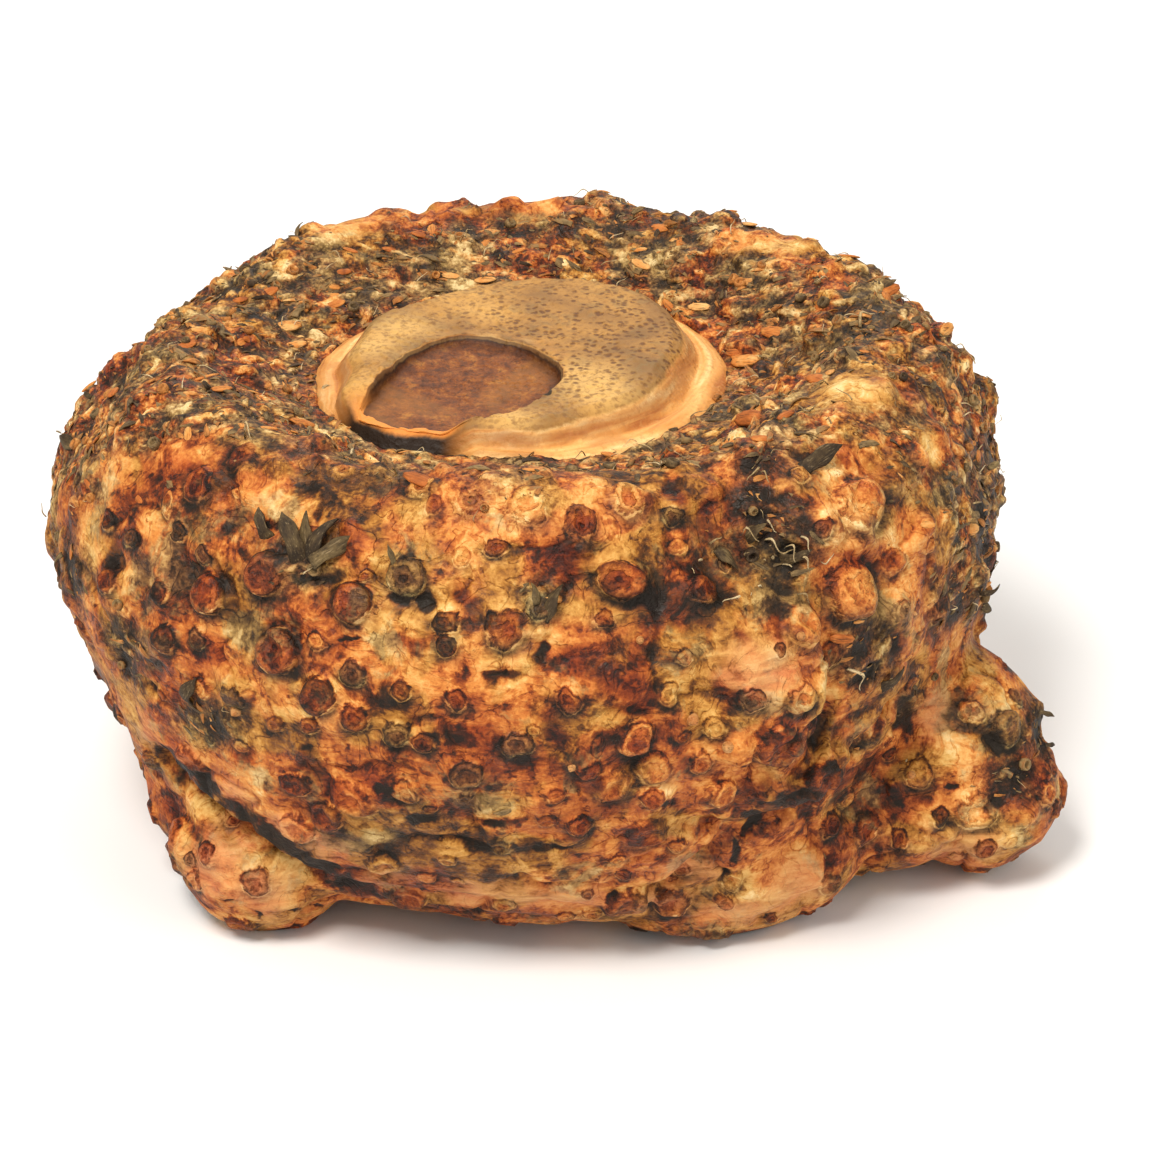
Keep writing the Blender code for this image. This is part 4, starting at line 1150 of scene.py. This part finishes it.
# Healed leaf scar: pale corky stipple on top, a smooth cream collar and a dark dry pit.
SCAR_RECIPE = (
    ("broad", "noise", "place", per(30), 4.0, 0.5, 0.5),
    ("middle", "noise", "place", per(7), 6.0, 0.65, 1.0),
    ("fine", "noise", "place", per(1.3), 3.0, 0.7),
    ("crumbs", "noise", "place", per(4.5), 7.0, 0.78),
    ("cells", "cells", "place", per(1.9), 1.0),
    ("banded", "noise", "around", 2.2, 4.0, 0.5, 0.6),
    ("grain", "mask", "fine", 0.48, 0.64, 0.5),
    # The plug's pale top with its dots, and cream patches that are partly its own colour and partly painted
    # highlights.
    ("top", "ramp", "broad", STIPPLE_STOPS),
    ("greyed", "mask", "middle", 0.5, 0.62, 0.4), ("top", "laid", "greyed", "#7A6540", "top"),
    ("cream_highlighted", "times", "cream_highlight", 0.75), ("top", "laid", "cream_highlighted", "#DDB065", "top"),
    ("top", "laid", "grain", "#835828", "top"),
    ("dots", "times", "stipple", 0.85),
    ("dots", "mask", "cells", 0.52, 0.2, "dots"), ("dots", "mask", "middle", 0.36, 0.5, "dots"),
    ("top", "laid", "dots", "#5A3212", "top"),
    # The pit's dry soil, with painted shade darkening it towards the pit's wall.
    ("soil", "ramp", "crumbs", PIT_STOPS),
    ("dark_soil", "mask", "fine", 0.5, 0.66, 0.6), ("soil", "laid", "dark_soil", "#331B0E", "soil"),
    ("light_soil", "mask", "broad", 0.5, 0.6, 0.4), ("soil", "laid", "light_soil", "#A36A2B", "soil"),
    ("pit_wall_shade", "mask", "level", 0.75, 1.9, 0.6), ("soil", "laid", "pit_wall_shade", "#3A1D0C", "soil"),
    # Rows of the profile with ragged edges part the collar, the plug, the pit, the torn lip and the foot.
    ("ragged", "sum", "middle", -0.5), ("level", "sum", "level", "ragged"),
    ("ground", "ramp", "banded", COLLAR_STOPS),
    ("tanned", "mask", "broad", 0.5, 0.6, 0.5), ("ground", "laid", "tanned", "#B5763A", "ground"),
    ("ground", "laid", "grain", "#C48B4E", "ground"),
    # The crease between plug and collar: a brown line of the scar, with painted shade in it.
    ("crease_and_shade", "mask", "level", 8.2, 7.2, 0.5), ("crease_and_shade", "mask", "level", 6.2, 6.9, "crease_and_shade"),
    ("ground", "laid", "crease_and_shade", "#7A3F1A", "ground"),
    ("on_top", "mask", "level", 6.6, 6.1), ("on_top", "mask", "level", 3.6, 4.1, "on_top"),
    ("ground", "laid", "on_top", "top", "ground"),
    ("in_pit", "mask", "level", 3.0, 2.7), ("ground", "laid", "in_pit", "soil", "ground"),
    # Painted shade: a dark band on the pit's wall, under its brim.
    ("edge", "mask", "level", 4.0, 3.5, 0.8), ("edge", "mask", "level", 2.2, 2.8, "edge"),
    ("ground", "laid", "edge", "#2A1A10", "ground"),
    ("lip", "mask", "level", 2.0, 2.6, "gap"), ("ground", "laid", "lip", "#D98A3C", "ground"),
    # Painted shade: near black in the gap under the pit's front lip.
    ("torn", "times", "gap", 0.98), ("torn", "mask", "level", 5.4, 6.2, "torn"),
    ("ground", "laid", "torn", "#080503", "ground"),
    # Painted shade: near black in a small notch at the pit's front right, which the mesh doesn't cut.
    ("notch_shade", "mask", "notch", 0.4, 0.6, 0.9), ("ground", "laid", "notch_shade", "#080503", "ground"),
    ("foot", "mask", "level", 10.2, 10.8, 0.8), ("ground", "laid", "foot", "#3C2A19", "ground"),
    ("normal", "bump", "fine", 0.3 * METRES, 0.5),
    ("normal", "bump", "dots", -0.4 * METRES, 0.6, "normal"),
    ("normal", "bump", "middle", 1.0 * METRES, 0.4, "normal"),
)

# Dry plant tissues: stops, how light their fibres are, and how dark a painted shadow makes them low down,
# where they lie on the skin. Scale leaves and roots are papery and olive brown to tan, bracts are darker,
# bare skin and buds are orange, and fibres are pale.
DRY_TISSUES = {
    "dry_scale_leaf": (FLAKE_STOPS, 0.25, 0.5),
    "bare_bud_skin": (NODULE_STOPS, 0.2, 0.5),
    "dried_root": (FLAKE_STOPS, 0.35, 0.5),
    "pale_fibre": (FIBRE_STOPS, 0.35, 0.5),
    "cream_strand": (FIBRE_STOPS, 0.35, 0.5),
    "dried_bract": (BRACT_STOPS, 0.35, 0.75),
    "dormant_bud": (BUD_STOPS, 0.5, 0.5),
}


def dry_recipe(stops, lightness, rim):
    """Dry tissue: fibres run along each copy, and its tone and the patch it lies in pick the colour."""
    return (
        ("drawn", "stretched", "own", (0.18, 1.6, 1.6)), ("fibres", "noise", "drawn", 1.4, 4.0, 0.65),
        ("patch", "noise", "place", per(7), 4.0, 0.6, 0.6),
        ("blotch", "noise", "own", 0.45, 4.0, 0.6),
        ("pick", "share", "tone", 0.62, -0.61),
        ("pick", "share", "blotch", 0.5, "pick"),
        ("pick", "share", "patch", 1.1, "pick"),
        ("ground", "ramp", "pick", stops),
        ("dark", "mask", "fibres", 0.5, 0.3, 0.75), ("ground", "laid", "dark", "#1D140B", "ground"),
        ("light", "mask", "fibres", 0.55, 0.75, lightness), ("ground", "laid", "light", "#CDB387", "ground"),
        # Painted shadow: each copy is darker low down, where it lies on the skin.
        ("low", "mask", "raised", 0.45, 0.0, rim), ("ground", "laid", "low", "#1A120A", "ground"),
        ("normal", "bump", "fibres", 0.4 * METRES, 0.7),
    )


def add(tree, form, *values, **settings):
    """Adds one node of a form with its settings, and its values as links, stops, colours or numbers."""
    kind, sockets, output, own_settings = FORMS[form]
    made = tree.nodes.new("ShaderNode" + kind)
    for name, value in (own_settings | settings).items():
        setattr(made, name, value)
    for name, value in zip(sockets, values):
        if isinstance(value, bpy.types.NodeSocket):
            tree.links.new(value, made.inputs[name])
        elif name == "stops":
            set_stops(made.color_ramp.elements, value)
        else:
            made.inputs[name].default_value = linear(value) if isinstance(value, str) else value
    return made.outputs[output]


def set_stops(elements, stops):
    """Gives a colour ramp, which starts with two stops, its places and colours."""
    for index, (place, colour) in enumerate(stops):
        stop = elements[index] if index < 2 else elements.new(place)
        stop.position, stop.color = place, linear(colour)


def new_material(name, roughness, specular):
    """A plain material, with its tree and its shader."""
    material = bpy.data.materials.new(name)
    material.use_nodes = True
    shader = material.node_tree.nodes["Principled BSDF"]
    shader.inputs["Roughness"].default_value = roughness
    shader.inputs["Specular IOR Level"].default_value = specular
    return material, material.node_tree, shader


def made_material(name, recipe, fields, directions, roughness, specular):
    """A material made by a recipe from the values and directions that its mesh keeps."""
    material, tree, shader = new_material(name, roughness, specular)
    parts = {"place": add(tree, "place")}
    for form, names in (("field", fields), ("direction", directions)):
        parts.update({part: add(tree, form, attribute_name=part) for part in names})
    for part, form, *values in recipe:
        values = [parts.get(value, value) if isinstance(value, str) else value for value in values]
        parts[part] = add(tree, form, *values)
    for part, socket in (("ground", "Base Color"), ("normal", "Normal"), ("dull", "Roughness")):
        if part in parts:
            tree.links.new(parts[part], shader.inputs[socket])
    return material


def dry_material(name):
    """One of the dry plant tissues."""
    return made_material(name, dry_recipe(*DRY_TISSUES[name]), ("tone", "raised"), ("own",), *DRY_GLOSS)


# The dressed corm


def add_flakes(mesh, tree, weights, draw):
    """The crown's dry scales, in two pieces: large and small."""
    material = dry_material("dry_scale_leaf")
    for name, count, low, high, tilt, cuts, lengths in FLAKE_SETS:
        shapes = [flake_shape(form, cuts, lengths) for form in FLAKE_FORMS]
        spots, normals = spots_on(mesh, weights, count, draw)
        sizes = low + (high - low) * draw.random(count) ** FLAKE_FAVOUR
        spots = settled(tree, spots, normals, FLAKE_SINK * sizes)
        turns = noise(spots, *FLOW) + draw.normal(0.0, FLAKE_STRAY, count)
        along = along_surface(normals, turns + math.pi * draw.integers(0, 2, count))
        tilts, tones = np.abs(draw.normal(0.0, tilt, count)), draw.random(count)
        add_copies(name, shapes, (spots, normals, along, sizes), tilts, tones, material, False)


def add_nodules(mesh, tree, weights, draw):
    """Lenses of bare orange skin among the scales: those that the photograph shows, and strewn ones."""
    spots, normals = spots_on(mesh, weights, NODULES, draw)
    spots = settled(tree, spots, normals, NODULE_SINK)
    along = along_surface(normals, draw.normal(0.0, NODULE_STRAY, NODULES))
    sizes = draw.uniform(*NODULE_SIZES, NODULES)
    seen = laid_by_pixels(tree, [(x - half, y, x + half, y) for x, y, half in NODULES_SEEN])
    raised = (seen[0] + NODULE_SINK * seen[1], *seen[1:])
    laid = [np.concatenate(pair) for pair in zip(raised, (spots, normals, along, sizes))]
    tilts, tones = draw.normal(0.0, NODULE_TILT, len(laid[0])), draw.random(len(laid[0]))
    add_copies("nodules", [nodule_shape()], laid, tilts, tones, dry_material("bare_bud_skin"))


def add_root_stubs(mesh, tree, weights, draw):
    """Hollow ends of old roots among the scales."""
    spots, normals = spots_on(mesh, weights, STUBS, draw)
    sizes = draw.uniform(*STUB_SIZES, STUBS)
    spots = settled(tree, spots, normals, STUB_SINK * sizes)
    laid = (spots, normals, along_surface(normals, draw.uniform(0, STUB_TURNS, STUBS)), sizes)
    tilts, tones = draw.normal(0, STUB_TILT, STUBS), draw.random(STUBS)
    add_copies("root_stubs", [stub_shape()], laid, tilts, tones, dry_material("dried_root"))


def add_fibres(mesh, tree, weights, draw):
    """Pale fibres strewn over the crown."""
    spots, normals = spots_on(mesh, weights, FIBRES, draw)
    sizes = draw.uniform(*FIBRE_SIZES, FIBRES)
    spots = settled(tree, spots, normals, FIBRE_SINK)
    along = along_surface(normals, draw.normal(0.0, FIBRE_STRAY, FIBRES))
    tones, tilts = draw.random(FIBRES), np.abs(draw.normal(0.0, FIBRE_TILT, FIBRES))
    laid = (spots - 0.5 * along * sizes[:, None], normals, along, sizes)
    shapes = [fibre_shape(bend, FIBRE_THICKNESS) for bend in FIBRE_BENDS]
    add_copies("fibres", shapes, laid, tilts, tones, dry_material("pale_fibre"))


def add_seen_parts(tree):
    """The pale strands, the larger scales that stand in fans, and the buds that the photograph shows."""
    spots, normals, along, sizes = laid_by_pixels(tree, STRANDS_SEEN)
    laid = (spots - along / 2 + STRAND_LIFT * normals, normals, along, sizes)
    shapes = [fibre_shape(bend, STRAND_THICKNESS) for bend in STRAND_BENDS]
    tilts, tones = np.full(len(spots), STRAND_TILT), np.linspace(*STRAND_TONES, len(spots))
    add_copies("strands", shapes, laid, tilts, tones, dry_material("cream_strand"))
    spots, normals, along, sizes = laid_by_pixels(tree, BRACTS_SEEN)
    laid = (spots + BRACT_LIFT * normals, normals, along, sizes)
    shapes = [flake_shape(form, *BRACT_CUTS, BRACT_TAPER) for form in BRACT_FORMS]
    middle, reach, step = BRACT_TONES
    tilts, tones = np.full(len(spots), BRACT_TILT), middle + reach * np.sin(np.arange(len(spots)) * step)
    add_copies("bracts", shapes, laid, tilts, tones, dry_material("dried_bract"))
    rows = [(x - half, y, x + half, y) for x, y, half in BUDS_SEEN]
    spots, normals, along, sizes = laid_by_pixels(tree, rows)
    laid = (spots, normals, along, BUD_SIZE * sizes)
    tilts, tones = np.zeros(len(spots)), np.full(len(spots), BUD_TONE)
    add_copies("buds", [bud_shape()], laid, tilts, tones, dry_material("dormant_bud"))


def build_corm(node):
    """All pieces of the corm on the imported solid."""
    draw = np.random.default_rng(SEED)
    mesh = skin_piece(node, draw)
    skin_finish = made_material("corky_corm_skin", SKIN_RECIPE, SKIN_VALUES, (), *SKIN_GLOSS)
    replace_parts(add_piece("skin", mesh, skin_finish), "corm")
    scar_values = ("level", "gap", "cream_highlight", "notch", "stipple")
    scar_finish = made_material("healed_leaf_scar", SCAR_RECIPE, scar_values, ("around",), *SCAR_GLOSS)
    add_piece("leaf_scar", scar_piece(), scar_finish)
    tree = tree_of(mesh)
    points = points_of(mesh)
    crown = np.empty(len(points), np.float32)
    mesh.attributes["crown"].data.foreach_get("value", crown)
    crown = crown.astype(float)
    room = (1.0 - in_outline(points, COLLAR_OUTLINE, SCAR_MARGIN)) * smooth(*LOWEST_STREWN, points[:, 2])
    add_flakes(mesh, tree, (crown**2 + FLAKE_CHANCE) * room, draw)
    add_nodules(mesh, tree, crown * room + NODULE_CHANCE, draw)
    add_root_stubs(mesh, tree, crown * room + NODULE_CHANCE, draw)
    add_fibres(mesh, tree, crown * room + FIBRE_CHANCE, draw)
    add_seen_parts(tree)


# Room, light and camera

WARM_LIGHT = (1.0, 0.94, 0.85)
WORLD_STRENGTH = 0.5
FLOOR_SIZE = 4.0
FLOOR_COLOUR = "#F2F5FA"
# Lamps: name, place and side in metres, and power in watts.
LAMPS = (
    ("key", (-0.35, -0.7, 1.25), 0.45, 20.0), ("fill", (0.9, -0.7, 0.7), 0.8, 4.0),
    ("rim", (0.1, 0.9, 0.9), 0.8, 6.0),
)
LAMP_AIM = Vector((0.0, 0.0, 0.05))


def turned_to(thing, place, ahead):
    """Puts a lamp or the camera at a place in metres, facing ahead."""
    bpy.context.scene.collection.objects.link(thing)
    thing.location = place
    thing.rotation_mode = "QUATERNION"
    thing.rotation_quaternion = Vector(ahead).to_track_quat("-Z", "Y")


def add_room():
    """A plain pale floor, light all round and three square lamps, the strongest above the camera's left."""
    work = bmesh.new()
    bmesh.ops.create_grid(work, x_segments=2, y_segments=2, size=FLOOR_SIZE)
    mesh = bpy.data.meshes.new("floor")
    work.to_mesh(mesh)
    work.free()
    floor = bpy.data.objects.new("floor", mesh)
    bpy.context.scene.collection.objects.link(floor)
    material, _, shader = new_material("white_studio_floor", *FLOOR_GLOSS)
    shader.inputs["Base Color"].default_value = linear(FLOOR_COLOUR)
    mesh.materials.append(material)
    world = bpy.data.worlds.new("studio")
    bpy.context.scene.world = world
    world.use_nodes = True
    world.node_tree.nodes["Background"].inputs["Color"].default_value = (*WARM_LIGHT, 1.0)
    world.node_tree.nodes["Background"].inputs["Strength"].default_value = WORLD_STRENGTH
    for name, place, size, power in LAMPS:
        lamp = bpy.data.objects.new(name, bpy.data.lights.new(name, "AREA"))
        lamp.data.size, lamp.data.energy, lamp.data.color = size, power, WARM_LIGHT
        turned_to(lamp, place, LAMP_AIM - Vector(place))


def add_camera():
    """The photograph's camera."""
    camera = bpy.data.objects.new("camera", bpy.data.cameras.new("camera"))
    camera.data.lens, camera.data.sensor_width = LENS, SENSOR
    turned_to(camera, CAMERA * METRES, AHEAD)
    bpy.context.scene.camera = camera


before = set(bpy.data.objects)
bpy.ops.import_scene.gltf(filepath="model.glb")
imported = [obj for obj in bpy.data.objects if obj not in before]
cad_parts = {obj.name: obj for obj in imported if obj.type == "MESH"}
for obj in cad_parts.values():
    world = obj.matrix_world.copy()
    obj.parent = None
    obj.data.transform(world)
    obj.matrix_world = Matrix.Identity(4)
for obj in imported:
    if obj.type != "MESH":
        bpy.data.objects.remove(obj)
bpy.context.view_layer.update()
add_camera()
add_room()
build_corm(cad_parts["corm"])
bpy.context.scene.view_settings.view_transform = "Standard"
